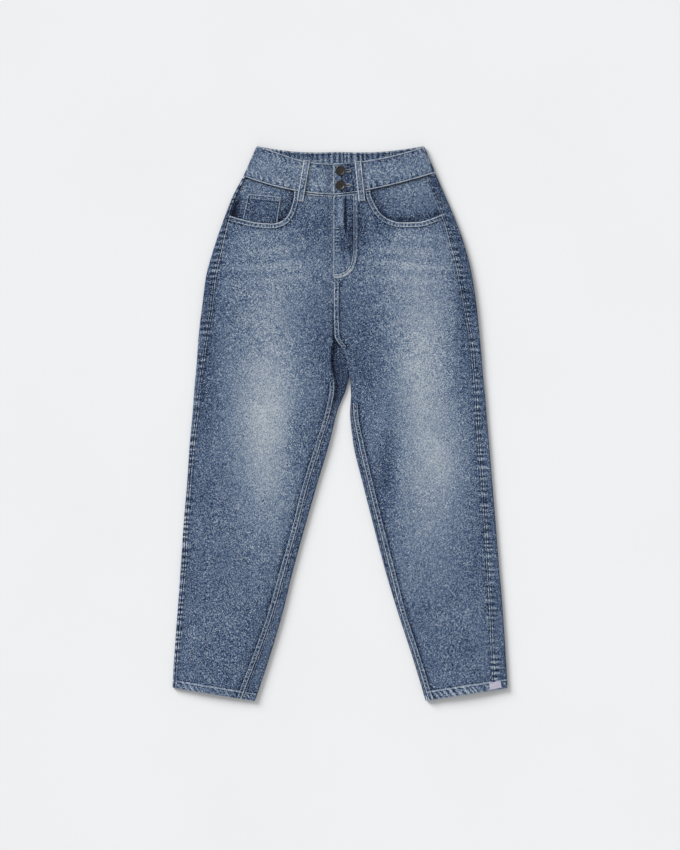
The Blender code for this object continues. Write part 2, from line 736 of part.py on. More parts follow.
POCKET_OUTLINE = ((-72.0, 74.0), (72.0, 74.0), (66.0, -46.0), (0.0, -74.0), (-66.0, -46.0))


def back_pocket(name, centre, turn, collection):
    """A five-sided patch pocket on the seat, with rounded lower corners. The garment lies on it."""
    curve = bpy.data.curves.new(name, "CURVE")
    curve.dimensions = "2D"
    curve.fill_mode = "BOTH"
    curve.extrude = LOOP_CLOTH / 2.0 * MM
    line = curve.splines.new("POLY")
    line.points.add(len(POCKET_OUTLINE) - 1)
    cosine, sine = math.cos(turn), math.sin(turn)
    for spot, (x, y) in zip(line.points, POCKET_OUTLINE):
        turned_x = centre[0] + x * cosine - y * sine
        turned_y = centre[1] + x * sine + y * cosine
        spot.co = (turned_x * MM, turned_y * MM, 0.0, 1.0)
    line.use_cyclic_u = True
    drawn = bpy.data.objects.new(name + "_outline", curve)
    collection.objects.link(drawn)
    bpy.context.view_layer.update()
    mesh = bpy.data.meshes.new_from_object(drawn.evaluated_get(bpy.context.evaluated_depsgraph_get()))
    bpy.data.objects.remove(drawn)
    bm = bmesh.new()
    bm.from_mesh(mesh)
    bmesh.ops.remove_doubles(bm, verts=bm.verts, dist=0.00001)
    bmesh.ops.recalc_face_normals(bm, faces=bm.faces)
    bmesh.ops.translate(bm, verts=bm.verts, vec=(0.0, 0.0, LOOP_CLOTH / 2.0 * MM))
    bm.to_mesh(mesh)
    bm.free()
    return finished(name, mesh, "denim", collection)


def button(name, y, collection):
    """A dished tack button on a shank that stands on the underlap and comes up through the buttonhole."""
    lift, edge, swell = profile(y)
    band_top = lift + edge + swell + BAND_PROUD
    foot = band_top - BAND_TUCK + SEAM_GAP
    head = band_top + 0.5
    # Radius and height of the turned outline, from the top's middle down to the shank's foot.
    outline = [
        (0.0, head + 1.7),
        (BUTTON_RADIUS * 0.55, head + 1.7),
        (BUTTON_RADIUS * 0.74, head + 1.5),
        (BUTTON_RADIUS * 0.84, head + 2.2),
        (BUTTON_RADIUS * 0.95, head + 2.0),
        (BUTTON_RADIUS, head + 1.2),
        (BUTTON_RADIUS * 0.93, head + 0.3),
        (BUTTON_RADIUS * 0.55, head),
        (SHANK_RADIUS, head),
        (SHANK_RADIUS, foot),
        (0.0, foot),
    ]
    bm = bmesh.new()
    verts = [bm.verts.new((r * MM, 0.0, z * MM)) for r, z in outline]
    for first, second in zip(verts[:-1], verts[1:]):
        bm.edges.new((first, second))
    mesh = bpy.data.meshes.new(name)
    bm.to_mesh(mesh)
    bm.free()
    made = finished(name, mesh, "button_metal", collection)
    made.location = (BUTTON_X * MM, y * MM, 0.0)
    turn = made.modifiers.new("turn", "SCREW")
    turn.steps = turn.render_steps = 28
    turn.use_merge_vertices = True
    turn.merge_threshold = 0.00005
    return made


def buttonhole(name, y, collection):
    """The keyhole's outline: a round eye for the shank and a slit away from the edge."""
    half = SLIT_WIDTH / 2.0
    open_angle = math.asin(half / EYE_RADIUS)
    arc = steps(open_angle, 2.0 * math.pi - open_angle, 14)
    eye = [(BUTTON_X + EYE_RADIUS * math.cos(a), y + EYE_RADIUS * math.sin(a)) for a in arc]
    slit = [(SLIT_END_X, y - half), (SLIT_END_X + half, y), (SLIT_END_X, y + half)]
    return prism(name, [*eye, *slit], collection)


ZIP_WIDTH = 24.0
ZIP_TOP_Y, ZIP_BOTTOM_Y = 402.0, 276.0


def fly_zip(name, collection):
    """The closed zip under the fly: two tapes and the closed chain between them, plain."""

    def point(side, share):
        y = ZIP_TOP_Y + (ZIP_BOTTOM_Y - ZIP_TOP_Y) * share
        x = CENTRE_FRONT_X + 13.5 + ZIP_WIDTH * (side + 1.0) / 2.0
        lift, edge, swell = profile(y)
        return np.array((x, y, lift + edge + swell - 0.4 - CLOTH - SEAM_GAP))

    grid = ([-1.0, -0.25, 0.25, 1.0], steps(0.0, 1.0, 4), point)
    return cloth(name, [grid], 1.0, "zip_tape", collection, True)


HEM_TAB = ((267.5, -466.5), (288.5, -462.5), (290.5, -474.5), (269.5, -479.0))


def hem_tab(name, collection):
    """A small bare woven tab on the left hem, across the outseam."""
    top_left, top_right, low_right, low_left = (np.array(c) for c in HEM_TAB)

    def point(share, down):
        plan = (top_left + (top_right - top_left) * share) * (1.0 - down)
        plan = plan + (low_left + (low_right - low_left) * share) * down
        z = top_height(LEFT_LEG, place_at(LEFT_LEG, plan), plan)
        return np.array((*plan, z + SEAM_GAP + 0.75))

    grid = (steps(0.0, 1.0, 3), [0.0, 0.5, 1.0], point)
    return cloth(name, [grid], 0.6, "label", collection, True)


def main():
    for obj in list(bpy.data.objects):
        bpy.data.objects.remove(obj)
    garment = bpy.data.collections.new("mom_jeans")
    cutters = bpy.data.collections.new("cutters")
    bpy.context.scene.collection.children.link(garment)
    bpy.context.scene.collection.children.link(cutters)

    for side, leg, mouth in (("right", RIGHT_LEG, RIGHT_MOUTH), ("left", LEFT_LEG, LEFT_MOUTH)):
        front_panel("front_" + side, leg, mouth, garment, cutters)
        back_panel("back_" + side, leg, garment)
        yoke("yoke_" + side, leg, garment)
        facing("pocket_facing_" + side, leg, mouth, garment)
    coin_pocket("coin_pocket", garment)

    front_band("waistband_right", RIGHT_LEG, garment)
    buttoned = front_band("waistband_left", LEFT_LEG, garment)
    back_band("waistband_back", garment)
    for name, y in BUTTON_YS.items():
        button(name, y, garment)
        cut(buttoned, buttonhole(name + "_hole", y, cutters))
    fly_zip("fly_zip", garment)

    front_loop("loop_front_right", (-59.5, 473.0), (-72.0, 399.0), 416.0, garment)
    front_loop("loop_front_left", (32.0, 471.5), (39.5, 399.5), 416.0, garment)
    back_loop("loop_back_centre", CENTRE_BACK_X, 487.0, garment)
    back_loop("loop_back_right", -104.0, 490.0, garment)
    back_loop("loop_back_left", 98.0, 491.0, garment)

    back_pocket("back_pocket_right", (-108.0, 282.0), math.radians(-4.0), garment)
    back_pocket("back_pocket_left", (102.0, 282.0), math.radians(4.0), garment)
    hem_tab("hem_tab", garment)


main()
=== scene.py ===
# %% [markdown]
# # High-waisted jeans, laid out flat
#
# This lesson dresses the imported solids of a pair of jeans. The solids already have the right outline and
# walls. Here each piece of cloth is made again on the same form, with many more points, so that it can carry
# what denim shows from a step away: puckered seams, a faded thigh, roped hems and rows of stitches.
#
# The frame comes first.

# %% Load the frame
import math
from collections import namedtuple

import bmesh
import bpy
import numpy as np
from mathutils import Matrix, Vector
from mathutils.bvhtree import BVHTree


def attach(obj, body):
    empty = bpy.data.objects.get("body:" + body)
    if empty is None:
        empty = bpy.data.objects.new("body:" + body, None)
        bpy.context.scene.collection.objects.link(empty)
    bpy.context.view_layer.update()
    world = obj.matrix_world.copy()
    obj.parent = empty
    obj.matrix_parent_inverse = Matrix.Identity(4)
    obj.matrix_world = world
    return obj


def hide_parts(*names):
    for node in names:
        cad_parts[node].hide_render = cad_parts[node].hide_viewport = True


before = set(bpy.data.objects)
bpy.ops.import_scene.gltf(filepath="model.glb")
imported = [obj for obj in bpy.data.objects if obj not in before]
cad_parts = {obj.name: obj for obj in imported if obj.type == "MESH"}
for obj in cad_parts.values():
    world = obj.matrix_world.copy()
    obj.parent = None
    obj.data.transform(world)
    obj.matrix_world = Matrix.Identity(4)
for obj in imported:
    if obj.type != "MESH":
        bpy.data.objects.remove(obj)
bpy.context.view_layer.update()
MM = 0.001

# %% [markdown]
# ## The camera and the light
#
# The jeans were photographed from straight above, so the camera hangs over their middle with a long lens.
# One pixel of the photograph is 1.8 mm, which fixes the lens. The floor is nearly white and evenly lit, and
# each leg throws a soft shadow to the lower right: a low sun with a wide disc does that, over a pale sky.

# %% Camera, floor and light
PIXEL = 1.8 * MM
CAMERA_HEIGHT = 6.0
frame_height = 850 * PIXEL

camera_data = bpy.data.cameras.new("camera")
camera_data.sensor_fit = "VERTICAL"
camera_data.sensor_height = 24.0
camera_data.lens = 24.0 * CAMERA_HEIGHT / frame_height
camera_data.clip_end = 60.0
camera = bpy.data.objects.new("camera", camera_data)
camera.location = (0.0, (423.5 - 425.0) * PIXEL, CAMERA_HEIGHT)
bpy.context.scene.collection.objects.link(camera)
bpy.context.scene.camera = camera

sun_data = bpy.data.lights.new("window", "SUN")
sun_data.energy = 3.4
sun_data.angle = math.radians(30)
sun = bpy.data.objects.new("window", sun_data)
sun.rotation_euler = Vector((0.68, -0.66, -0.49)).to_track_quat("-Z", "Y").to_euler()
bpy.context.scene.collection.objects.link(sun)

world = bpy.data.worlds.new("sky")
world.use_nodes = True
world.node_tree.nodes["Background"].inputs["Color"].default_value = (0.97, 0.985, 1.0, 1.0)
world.node_tree.nodes["Background"].inputs["Strength"].default_value = 0.52
bpy.context.scene.world = world
bpy.context.scene.view_settings.view_transform = "Standard"
print("lens", round(camera_data.lens, 1), "mm")

# %% [markdown]
# ## Shader maths as Python
#
# A material is easier to read as an expression than as a web of nodes. This small class wraps one socket, so
# that `wash + 0.2 * fleck` adds the Math nodes by itself. Every other node comes from one method.


# %% A socket that can be calculated with
class Wire:
    def __init__(self, tree, socket):
        self.tree, self.socket = tree, socket

    def _math(self, operation, *values, clamp=False):
        return Shading(self.tree).node("ShaderNodeMath", {"operation": operation, "use_clamp": clamp}, *values)

    def __add__(self, other):
        return self._math("ADD", self, other)

    def __sub__(self, other):
        return self._math("SUBTRACT", self, other)

    def __rsub__(self, other):
        return self._math("SUBTRACT", other, self)

    def __mul__(self, other):
        return self._math("MULTIPLY", self, other)

    def __pow__(self, other):
        return self._math("POWER", self, other)

    __radd__, __rmul__ = __add__, __mul__

    def clipped(self):
        return self._math("ADD", self, 0.0, clamp=True)


class Shading:
    """Adds nodes to a material's tree."""

    def __init__(self, tree):
        self.tree = tree

    def node(self, kind, settings, *values, out=0, **named):
        made = self.tree.nodes.new(kind)
        for key, value in settings.items():
            if key == "stops":
                ramp = made.color_ramp
                while len(ramp.elements) < len(value):
                    ramp.elements.new(1.0)
                for element, (position, colour) in zip(ramp.elements, value):
                    element.position, element.color = position, colour
            else:
                setattr(made, key, value)
        for key, value in [*enumerate(values), *((k.replace("_", " "), v) for k, v in named.items())]:
            if isinstance(value, Wire):
                self.tree.links.new(value.socket, made.inputs[key])
            else:
                made.inputs[key].default_value = value
        return Wire(self.tree, made.outputs[out])


def linear(*rgb):
    """A colour read from a picture, 0 to 255, as the shader wants it."""
    shares = [c / 255.0 for c in rgb]
    return (*(c / 12.92 if c <= 0.04045 else ((c + 0.055) / 1.055) ** 2.4 for c in shares), 1.0)


def new_material(name):
    made = bpy.data.materials.new(name)
    made.use_nodes = True
    return made, Shading(made.node_tree), made.node_tree.nodes["Principled BSDF"]


# %% [markdown]
# ## Denim
#
# Denim is blue warp over white weft. Washing takes the blue off the high places, and what is left runs along
# one line of colours, from navy to a greyed pale blue on the thighs. So the whole wash, with painted shade in
# the folds, seam lines and recesses, is one number per point, worked out with the cloth's form further down.
# The shader only adds what is finer than the mesh: rubbed wear and painted shade beside stitched edges, slubs
# along both diagonals, salt and pepper, and the twill's own lines.

# %% The denim materials
INDIGO = [
    (0.0, linear(13, 17, 33)),
    (0.2, linear(33, 47, 78)),
    (0.4, linear(58, 79, 111)),
    (0.55, linear(83, 105, 136)),
    (0.7, linear(110, 128, 152)),
    (0.85, linear(146, 157, 168)),
    (1.0, linear(192, 198, 203)),
]
# What a stitched edge shows at each millimetre from it, with one row of stitches or two: pale rubbed wear on
# the rolled edge, and painted shade in the gap at the very edge, in the stitch grooves and beside the rows.
ONE_ROW = [(0.0, -0.45), (0.4, 0.1), (0.8, 0.34), (2.2, 0.34), (2.8, -0.34), (3.9, -0.1), (5.0, 0.0)]
TWO_ROWS = [
    (0.0, -0.1), (0.3, 0.3), (2.0, 0.4), (2.7, -0.36), (3.6, -0.12), (6.4, -0.12),
    (7.1, 0.24), (8.4, 0.24), (9.1, -0.44), (10.6, -0.24), (12.8, -0.06), (16.0, 0.0),
]
TWILL_PITCH = 0.9 * MM


def streaks(shade, place, angle, width, length):
    """Noise drawn out along a direction, as slubs in a yarn are."""
    turned = shade.node(
        "ShaderNodeMapping", {"vector_type": "TEXTURE"}, place, (0.0, 0.0, 0.0),
        (0.0, 0.0, math.radians(angle)), (length * MM, width * MM, 0.03),
    )
    return shade.node("ShaderNodeTexNoise", {}, Vector=turned, Scale=1.0, Detail=0.0)


def line_profile(shade, distance, rows):
    """The wear and painted shade beside an edge, read from a table of distances in millimetres."""
    reach = rows[-1][0]
    stops = [(mm / reach, (0.5 + amount,) * 3 + (1.0,)) for mm, amount in rows]
    return shade.node("ShaderNodeValToRGB", {"stops": stops}, distance * (1.0 / reach)) - 0.5


def denim(name, offset=0.0, speckle=1.0, lines=1.0):
    made, shade, skin = new_material(name)
    place = shade.node("ShaderNodeTexCoord", {}, out="Object")
    wash, one, two, phase, tick = (
        shade.node("ShaderNodeAttribute", {"attribute_name": word}, out="Fac")
        for word in ("wash", "one_row", "two_rows", "tick_phase", "tick")
    )
    # Rubbed wear and painted shade beside stitched edges.
    edges = lines * (line_profile(shade, one, ONE_ROW) + line_profile(shade, two, TWO_ROWS))
    wave = shade.node("ShaderNodeMath", {"operation": "COSINE"}, phase * (2.0 * math.pi))
    ridges = tick * (0.5 * wave + 0.05)
    slub = streaks(shade, place, 52, 0.75, 3.6) + streaks(shade, place, 126, 0.75, 3.2) - 1.0
    pepper = shade.node("ShaderNodeTexNoise", {}, Vector=place, Scale=820.0, Detail=0.0) - 0.5
    cloud = shade.node("ShaderNodeTexNoise", {}, Vector=place, Scale=45.0, Detail=1.0) - 0.5
    twill = shade.node(
        "ShaderNodeTexWave", {"bands_direction": "DIAGONAL"}, Vector=place, Scale=0.35 / TWILL_PITCH,
        Distortion=1.2, Detail=1.0,
    ) - 0.5
    body = wash + edges + ridges + offset
    grain = (1.45 - 0.95 * body.clipped()) * (0.85 * slub + 1.5 * pepper + 0.08 * twill)
    level = body + speckle * grain + 0.05 * cloud
    ramp = shade.node("ShaderNodeValToRGB", {"stops": INDIGO}, level.clipped())
    made.node_tree.links.new(ramp.socket, skin.inputs["Base Color"])
    height = 0.5 * edges + 0.8 * ridges + 0.16 * (twill + pepper + slub)
    bump = shade.node("ShaderNodeBump", {}, Strength=0.8, Distance=1.0 * MM, Height=height)
    made.node_tree.links.new(bump.socket, skin.inputs["Normal"])
    skin.inputs["Roughness"].default_value = 0.93
    skin.inputs["Specular IOR Level"].default_value = 0.18
    return made


DENIM = denim("denim_washed")
DENIM_INSIDE = denim("denim_inside", offset=0.12, speckle=0.7, lines=0.0)
print("denim", [stop[0] for stop in INDIGO])


# %% [markdown]
# Thread, metal, tape and the woven tab are simpler. The thread is a pale tonal blue, washed with the cloth.
# The buttons are a dark antique metal, rubbed brighter where the noise says so.

# %% Thread, metal, tape and tab
def plain(name, low, high, scale, roughness, metallic=0.0):
    made, shade, skin = new_material(name)
    place = shade.node("ShaderNodeTexCoord", {}, out="Object")
    grain = shade.node("ShaderNodeTexNoise", {}, Vector=place, Scale=scale, Detail=3.0)
    ramp = shade.node("ShaderNodeValToRGB", {"stops": [(0.3, linear(*low)), (0.7, linear(*high))]}, grain)
    made.node_tree.links.new(ramp.socket, skin.inputs["Base Color"])
    rough = shade.node("ShaderNodeMapRange", {}, grain, 0.3, 0.7, roughness + 0.1, roughness - 0.1)
    made.node_tree.links.new(rough.socket, skin.inputs["Roughness"])
    skin.inputs["Metallic"].default_value = metallic
    bump = shade.node("ShaderNodeBump", {}, Strength=0.3, Distance=0.0002, Height=grain)
    made.node_tree.links.new(bump.socket, skin.inputs["Normal"])
    return made


THREAD = plain("thread_pale", (128, 140, 156), (186, 193, 202), 160.0, 0.8)
THREAD_DARK = plain("thread_shaded", (84, 96, 120), (132, 143, 160), 160.0, 0.8)
BUTTON_METAL = plain("button_metal", (44, 43, 43), (88, 86, 84), 420.0, 0.42, metallic=0.9)
BUTTON_DARK = plain("button_recess", (40, 39, 39), (74, 72, 70), 420.0, 0.55, metallic=0.8)
TAPE = plain("zip_tape", (38, 48, 74), (56, 68, 96), 900.0, 0.85)
ZIP_METAL = plain("zip_teeth", (120, 104, 72), (168, 150, 110), 500.0, 0.35, metallic=1.0)
TAB_WEAVE = plain("tab_weave", (150, 146, 170), (205, 202, 214), 700.0, 0.8)
FLOOR = plain("floor_paper", (238, 238, 238), (240, 240, 240), 3.0, 0.9)

# %% [markdown]
# The floor is a plain sheet of paper, far larger than the view, just under the jeans.

# %% Floor
bm = bmesh.new()
bmesh.ops.create_grid(bm, x_segments=8, y_segments=8, size=9.0)
floor_mesh = bpy.data.meshes.new("floor")
bm.to_mesh(floor_mesh)
bm.free()
floor_mesh.transform(Matrix.Translation((0.0, 0.0, -0.0003)))
floor_mesh.materials.append(FLOOR)
floor = bpy.data.objects.new("floor", floor_mesh)
bpy.context.scene.collection.objects.link(floor)

# %% [markdown]
# ## The form of a leg
#
# Each leg, with its half of the seat, is a flattened tube. The tables below are the pattern: one row per
# station down the leg, in millimetres. They are the solids' own tables, so the cloth lies on the same form.
# Functions read them with smooth curves, for a whole grid of points at once.

# %% The pattern's tables
Station = namedtuple("Station", "outer_x outer_y outseam front_x front_y inner_x inner_y")
RIGHT_LEG = [
    Station(-174.0, 444.0, 4.5, -0.5, 410.5, -4.0, 432.0),
    Station(-192.0, 410.5, 5.5, -0.5, 378.0, -4.0, 396.0),
    Station(-210.5, 363.5, 8.0, -0.5, 336.5, -4.0, 347.0),
    Station(-227.0, 315.0, 13.0, -0.5, 297.0, -4.0, 304.0),
    Station(-241.0, 264.5, 16.0, -4.0, 257.5, -4.0, 259.0),
    Station(-248.0, 210.5, 17.0, -12.5, 205.0, -4.0, 207.0),
    Station(-251.5, 183.5, 16.0, -12.5, 178.0, -2.0, 172.0),
    Station(-254.5, 156.5, 14.5, -12.0, 153.0, 8.0, 128.0),
    Station(-258.0, 106.0, 11.0, -16.5, 115.0, 16.0, 88.0),
    Station(-262.0, 63.0, 9.0, -9.0, 66.5, 10.5, 61.0),
    Station(-265.0, 21.5, 8.0, -15.5, 25.0, -4.0, 25.0),
    Station(-270.5, -38.0, 6.5, -34.5, -38.0, -20.0, -38.0),
    Station(-275.0, -106.0, 5.0, -57.5, -112.5, -42.5, -113.5),
    Station(-281.0, -176.5, 5.0, -77.5, -192.0, -65.0, -192.5),
    Station(-286.0, -250.0, 7.0, -100.0, -270.5, -86.5, -272.0),
    Station(-291.0, -322.0, 5.5, -121.0, -345.5, -105.0, -347.5),
    Station(-296.5, -396.0, 4.5, -147.0, -418.5, -127.0, -421.0),
    Station(-300.5, -461.5, 3.6, -171.0, -481.5, -148.5, -485.0),
    Station(-300.5, -475.0, 3.6, -176.0, -495.0, -154.0, -498.5),
]
LEFT_LEG = [
    Station(171.5, 450.0, 13.5, -12.0, 410.5, -4.0, 432.0),
    Station(185.5, 417.5, 18.0, -12.0, 378.0, -4.0, 396.0),
    Station(205.5, 371.0, 18.5, -12.0, 336.5, -4.0, 347.0),
    Station(225.0, 317.0, 23.0, -12.0, 297.0, -4.0, 304.0),
    Station(238.0, 263.0, 23.0, -12.0, 257.5, -4.0, 259.0),
    Station(246.0, 208.0, 21.0, -12.0, 205.0, -4.0, 207.0),
    Station(251.0, 160.0, 17.0, -10.5, 158.5, 4.0, 150.0),
    Station(254.0, 128.0, 16.0, 6.0, 130.5, 10.0, 127.0),
    Station(257.5, 84.5, 15.5, 17.0, 86.0, 17.0, 86.0),
    Station(261.0, 50.5, 16.0, 22.0, 50.5, 19.8, 52.0),
    Station(263.5, 18.0, 17.0, 23.0, 18.0, 18.2, 18.0),
    Station(268.0, -34.0, 18.0, 32.5, -34.0, 23.5, -34.0),
    Station(274.0, -108.0, 18.0, 50.5, -111.5, 42.0, -112.5),
    Station(280.0, -180.0, 18.5, 69.0, -186.5, 61.0, -187.0),
    Station(286.0, -255.5, 20.0, 89.0, -264.5, 82.0, -266.5),
    Station(292.0, -326.0, 21.5, 108.0, -338.5, 104.0, -339.5),
    Station(297.0, -398.0, 23.5, 132.5, -414.0, 128.7, -415.0),
    Station(300.5, -461.0, 24.0, 153.0, -480.5, 149.2, -481.5),
    Station(300.5, -475.5, 24.0, 158.5, -497.5, 154.7, -498.5),
]
Profile = namedtuple("Profile", "y lift edge swell")
PROFILES = [
    Profile(500.0, 1.6, 7.0, 1.6),
    Profile(300.0, 1.6, 7.0, 1.8),
    Profile(195.0, 1.6, 7.0, 2.2),
    Profile(60.0, 0.3, 7.0, 2.6),
    Profile(0.0, 0.0, 7.0, 2.8),
    Profile(-120.0, 0.0, 7.0, 2.6),
    Profile(-300.0, 0.0, 7.0, 2.2),
    Profile(-440.0, 0.0, 7.2, 2.0),
    Profile(-500.0, 0.0, 7.6, 2.2),
]
Fold = namedtuple("Fold", "x0 y0 x1 y1 height width")
FOLDS = [
    Fold(100.0, 0.0, 78.0, -150.0, -1.7, 13.0),
    Fold(16.0, 142.0, 62.0, 60.0, -1.1, 8.0),
    Fold(34.0, 150.0, 92.0, 84.0, 0.8, 9.0),
    Fold(-28.0, 150.0, -96.0, 96.0, 0.8, 10.0),
    Fold(-70.0, 40.0, -98.0, -120.0, -1.0, 12.0),
    Fold(-215.0, 278.0, -70.0, 262.0, 0.6, 7.0),
    Fold(80.0, 255.0, 205.0, 284.0, 0.6, 7.0),
    Fold(6.0, 398.0, 4.0, 352.0, 0.9, 5.0),
]
RIGHT_MOUTH = [
    (-81.5, 432.0), (-82.7, 408.0), (-86.9, 391.0), (-93.5, 374.5), (-105.5, 363.5),
    (-122.0, 359.5), (-147.0, 361.0), (-175.5, 367.0), (-199.5, 374.0), (-222.0, 382.0),
]
LEFT_MOUTH = [
    (53.0, 432.0), (55.7, 410.0), (62.0, 395.0), (72.3, 378.5), (89.0, 366.5),
    (109.5, 361.5), (138.5, 362.0), (163.0, 368.0), (184.0, 376.5), (214.0, 391.0),
]
Band = namedtuple("Band", "corner_x corner_y front_x front_y seam_bow ease bow")
RIGHT_BAND = Band(-150.0, 498.5, -12.5, 467.5, 2.0, 1.4, 2.6)
LEFT_BAND = Band(151.5, 498.5, -12.5, 468.0, 1.45, 1.0, 1.85)
BACK_BAND_TOP_Y = 488.5

CLOTH, HEM_CLOTH, BAND_CLOTH, GAP = 1.2, 1.8, 2.4, 0.3
BAND_PROUD, BAND_SEAM_STEP, BAND_UNDERLAP = 1.2, 0.4, 26.0
FOLD_REACH, BAND_FOLD_REACH, SWELL_REACH = 2.8, 3.4, 60.0
CENTRE_FRONT_X, CENTRE_BACK_X = -12.5, -4.0
CROTCH_APEX = (16.4, 84.0)
SPLIT, HEM, HEM_STITCH = 7.0, 18.0, 17.0
RIDGE, RIDGE_WIDTH = 0.7, 9.5


# %% Curves through the tables
def smooth(t):
    t = np.clip(t, 0.0, 1.0)
    return t * t * (3.0 - 2.0 * t)


def between(values, place):
    """A smooth curve through the values, read at places counted in values."""
    values = np.asarray(values, float)
    steps = np.diff(values)
    slope = np.concatenate([steps[:1], np.zeros(len(steps) - 1), steps[-1:]])
    product = steps[:-1] * steps[1:]
    rising = product > 0.0
    slope[1:-1][rising] = 2.0 * product[rising] / (steps[:-1] + steps[1:])[rising]
    index = np.clip(place, 0.0, len(values) - 1.000001).astype(int)
    t = place - index
    bent = slope[index] * t * (1.0 - t) ** 2 - slope[index + 1] * t * t * (1.0 - t)
    return values[index] + (values[index + 1] - values[index]) * smooth(t) + bent


def station(leg, place):
    return Station(*(between([row[k] for row in leg], place) for k in range(7)))


def profile(y):
    ys = [row.y for row in PROFILES[::-1]]
    return [np.interp(y, ys, [row[k] for row in PROFILES[::-1]]) for k in (1, 2, 3)]


def side_of(leg):
    return 1.0 if leg is LEFT_LEG else -1.0


def inner_x(leg, row):
    """The centre back, or the leg's inner edge."""
    ease = smooth((200.0 - row.inner_y) / (200.0 - CROTCH_APEX[1]))
    parting = CENTRE_BACK_X + (CROTCH_APEX[0] - CENTRE_BACK_X) * ease + side_of(leg) * GAP
    return np.where(row.inner_y <= CROTCH_APEX[1], row.inner_x, parting)


def reach_across(row):
    return np.hypot(row.front_x - row.outer_x, row.front_y - row.outer_y)


def front_plan(leg, place, share):
    """The front seen from above: share 0 is the outer edge, 1 the front panel's inner edge."""
    row = station(leg, place)
    band = LEFT_BAND if leg is LEFT_LEG else RIGHT_BAND
    power = 1.0 + (band.seam_bow - 1.0) * smooth(1.0 - place / 3.0)
    drop = 1.0 - np.maximum(0.0, 1.0 - share) ** power
    return row.outer_x + (row.front_x - row.outer_x) * share, row.outer_y + (row.front_y - row.outer_y) * drop


def top_height(leg, place, x, y):
    """The height of the front's outer surface, without seams or folds."""
    row = station(leg, place)
    lift, edge, swell = profile(y)
    from_inner = np.hypot(x - inner_x(leg, row), y - row.inner_y)
    parted = smooth((place - 6.0) / 3.0)
    rise = smooth((np.abs(x - row.outer_x) - FOLD_REACH) / SWELL_REACH)
    return lift + edge + swell * rise * (1.0 - parted * (1.0 - smooth((from_inner - FOLD_REACH) / SWELL_REACH)))


def fold_relief(x, y):
    total = 0.0
    for fold in FOLDS:
        along = np.array((fold.x1 - fold.x0, fold.y1 - fold.y0))
        length = np.hypot(*along)
        share = ((x - fold.x0) * along[0] + (y - fold.y0) * along[1]) / length**2
        across = np.abs((x - fold.x0) * along[1] - (y - fold.y0) * along[0]) / length
        fade = smooth(share / 0.3) * smooth((1.0 - share) / 0.3)
        total = total + fold.height * fade * smooth(1.0 - across / (2.0 * fold.width))
    return total


# %% [markdown]
# The back panel comes round both folded edges to the seams on top. A place round it is one number, the ring:
# 0 to 1 on top from the outseam, 1 to 2 round the outer fold, 2 to 3 underneath, 3 to 4 round the inner fold,
# 4 to 5 on top to the inseam.

# %% A place round the back panel
def turned_edge(x, y, to_x, to_y, reach, angle, base, height):
    step = reach * (1.0 - math.sin(angle))
    return np.stack([x + to_x * step, y + to_y * step, base + height * (1.0 - math.cos(angle)) / 2.0], -1)


def unit(x, y):
    length = np.hypot(x, y)
    return x / length, y / length


def ring_point(leg, place, ring):
    row = station(leg, place)
    x_in, y_in = inner_x(leg, row), row.inner_y
    width = reach_across(row)
    if ring <= 1.0:
        away = row.outseam - GAP + (FOLD_REACH - row.outseam + GAP) * ring
        x, y = front_plan(leg, place, away / width)
        return np.stack([x, y, top_height(leg, place, x, y)], -1)
    under = unit(x_in - row.outer_x, y_in - row.outer_y)
    if ring <= 2.0:
        x, y = front_plan(leg, place, FOLD_REACH / width)
        to = unit(x - row.outer_x, y - row.outer_y) if ring < 1.5 else under
        lift, edge, _ = profile(row.outer_y)
        return turned_edge(row.outer_x, row.outer_y, *to, FOLD_REACH, math.pi * (2.0 - ring), lift, edge)
    if ring <= 3.0:
        opened = FOLD_REACH * np.clip(place - SPLIT + 1.0, 0.0, 1.0)
        x0, y0 = row.outer_x + under[0] * FOLD_REACH, row.outer_y + under[1] * FOLD_REACH
        x = x0 + (x_in - under[0] * opened - x0) * (ring - 2.0)
        y = y0 + (y_in - under[1] * opened - y0) * (ring - 2.0)
        return np.stack([x, y, profile(y)[0]], -1)
    lift, edge, _ = profile(y_in)
    height = edge - 2.6 * smooth((y_in + 10.0) / 50.0)
    to_x, to_y = row.front_x - x_in, row.front_y - y_in
    narrow = -(to_x * under[0] + to_y * under[1]) < FOLD_REACH + 2.0 * GAP
    span = np.where(narrow, FOLD_REACH + 2.0 * GAP, np.hypot(to_x, to_y))
    seam = unit(np.where(narrow, -under[0], to_x), np.where(narrow, -under[1], to_y))
    if ring <= 4.0:
        to = (-under[0], -under[1]) if ring < 3.5 else seam
        return turned_edge(x_in, y_in, *to, FOLD_REACH, math.pi * (ring - 3.0), lift, height)
    away = FOLD_REACH + (span - GAP - FOLD_REACH) * (ring - 4.0)
    return np.stack([x_in + seam[0] * away, y_in + seam[1] * away, lift + height], -1)


def yoke_seam(ring):
    return 1.4 + 0.55 * np.clip(ring - 2.0, 0.0, 1.0)


# %% [markdown]
# ## Creases and puckers
#
# Nothing on cloth repeats exactly. Two small noises, from fixed seeds, give all of it: one along a line, for
# puckers that a seam draws up, and one over a surface, for the soft creases of cloth that was handled.

# %% Noises and puckers
def noise1(s, size, seed):
    """Smooth noise along a line, -1 to 1."""
    table = np.random.default_rng(seed).uniform(-1.0, 1.0, 512)
    t = np.asarray(s, float) / size + 200.0
    i = np.floor(t).astype(int)
    return table[i % 512] + (table[(i + 1) % 512] - table[i % 512]) * smooth(t - i)


def noise2(x, y, size, seed):
    """Smooth noise over a surface, -1 to 1."""
    table = np.random.default_rng(seed).uniform(-1.0, 1.0, (128, 128))
    u, v = np.asarray(x) / size + 50.0, np.asarray(y) / size + 50.0
    i, j = np.floor(u).astype(int), np.floor(v).astype(int)
    a, b = smooth(u - i), smooth(v - j)
    low = table[i % 128, j % 128] * (1 - a) + table[(i + 1) % 128, j % 128] * a
    high = table[i % 128, (j + 1) % 128] * (1 - a) + table[(i + 1) % 128, (j + 1) % 128] * a
    return low * (1 - b) + high * b


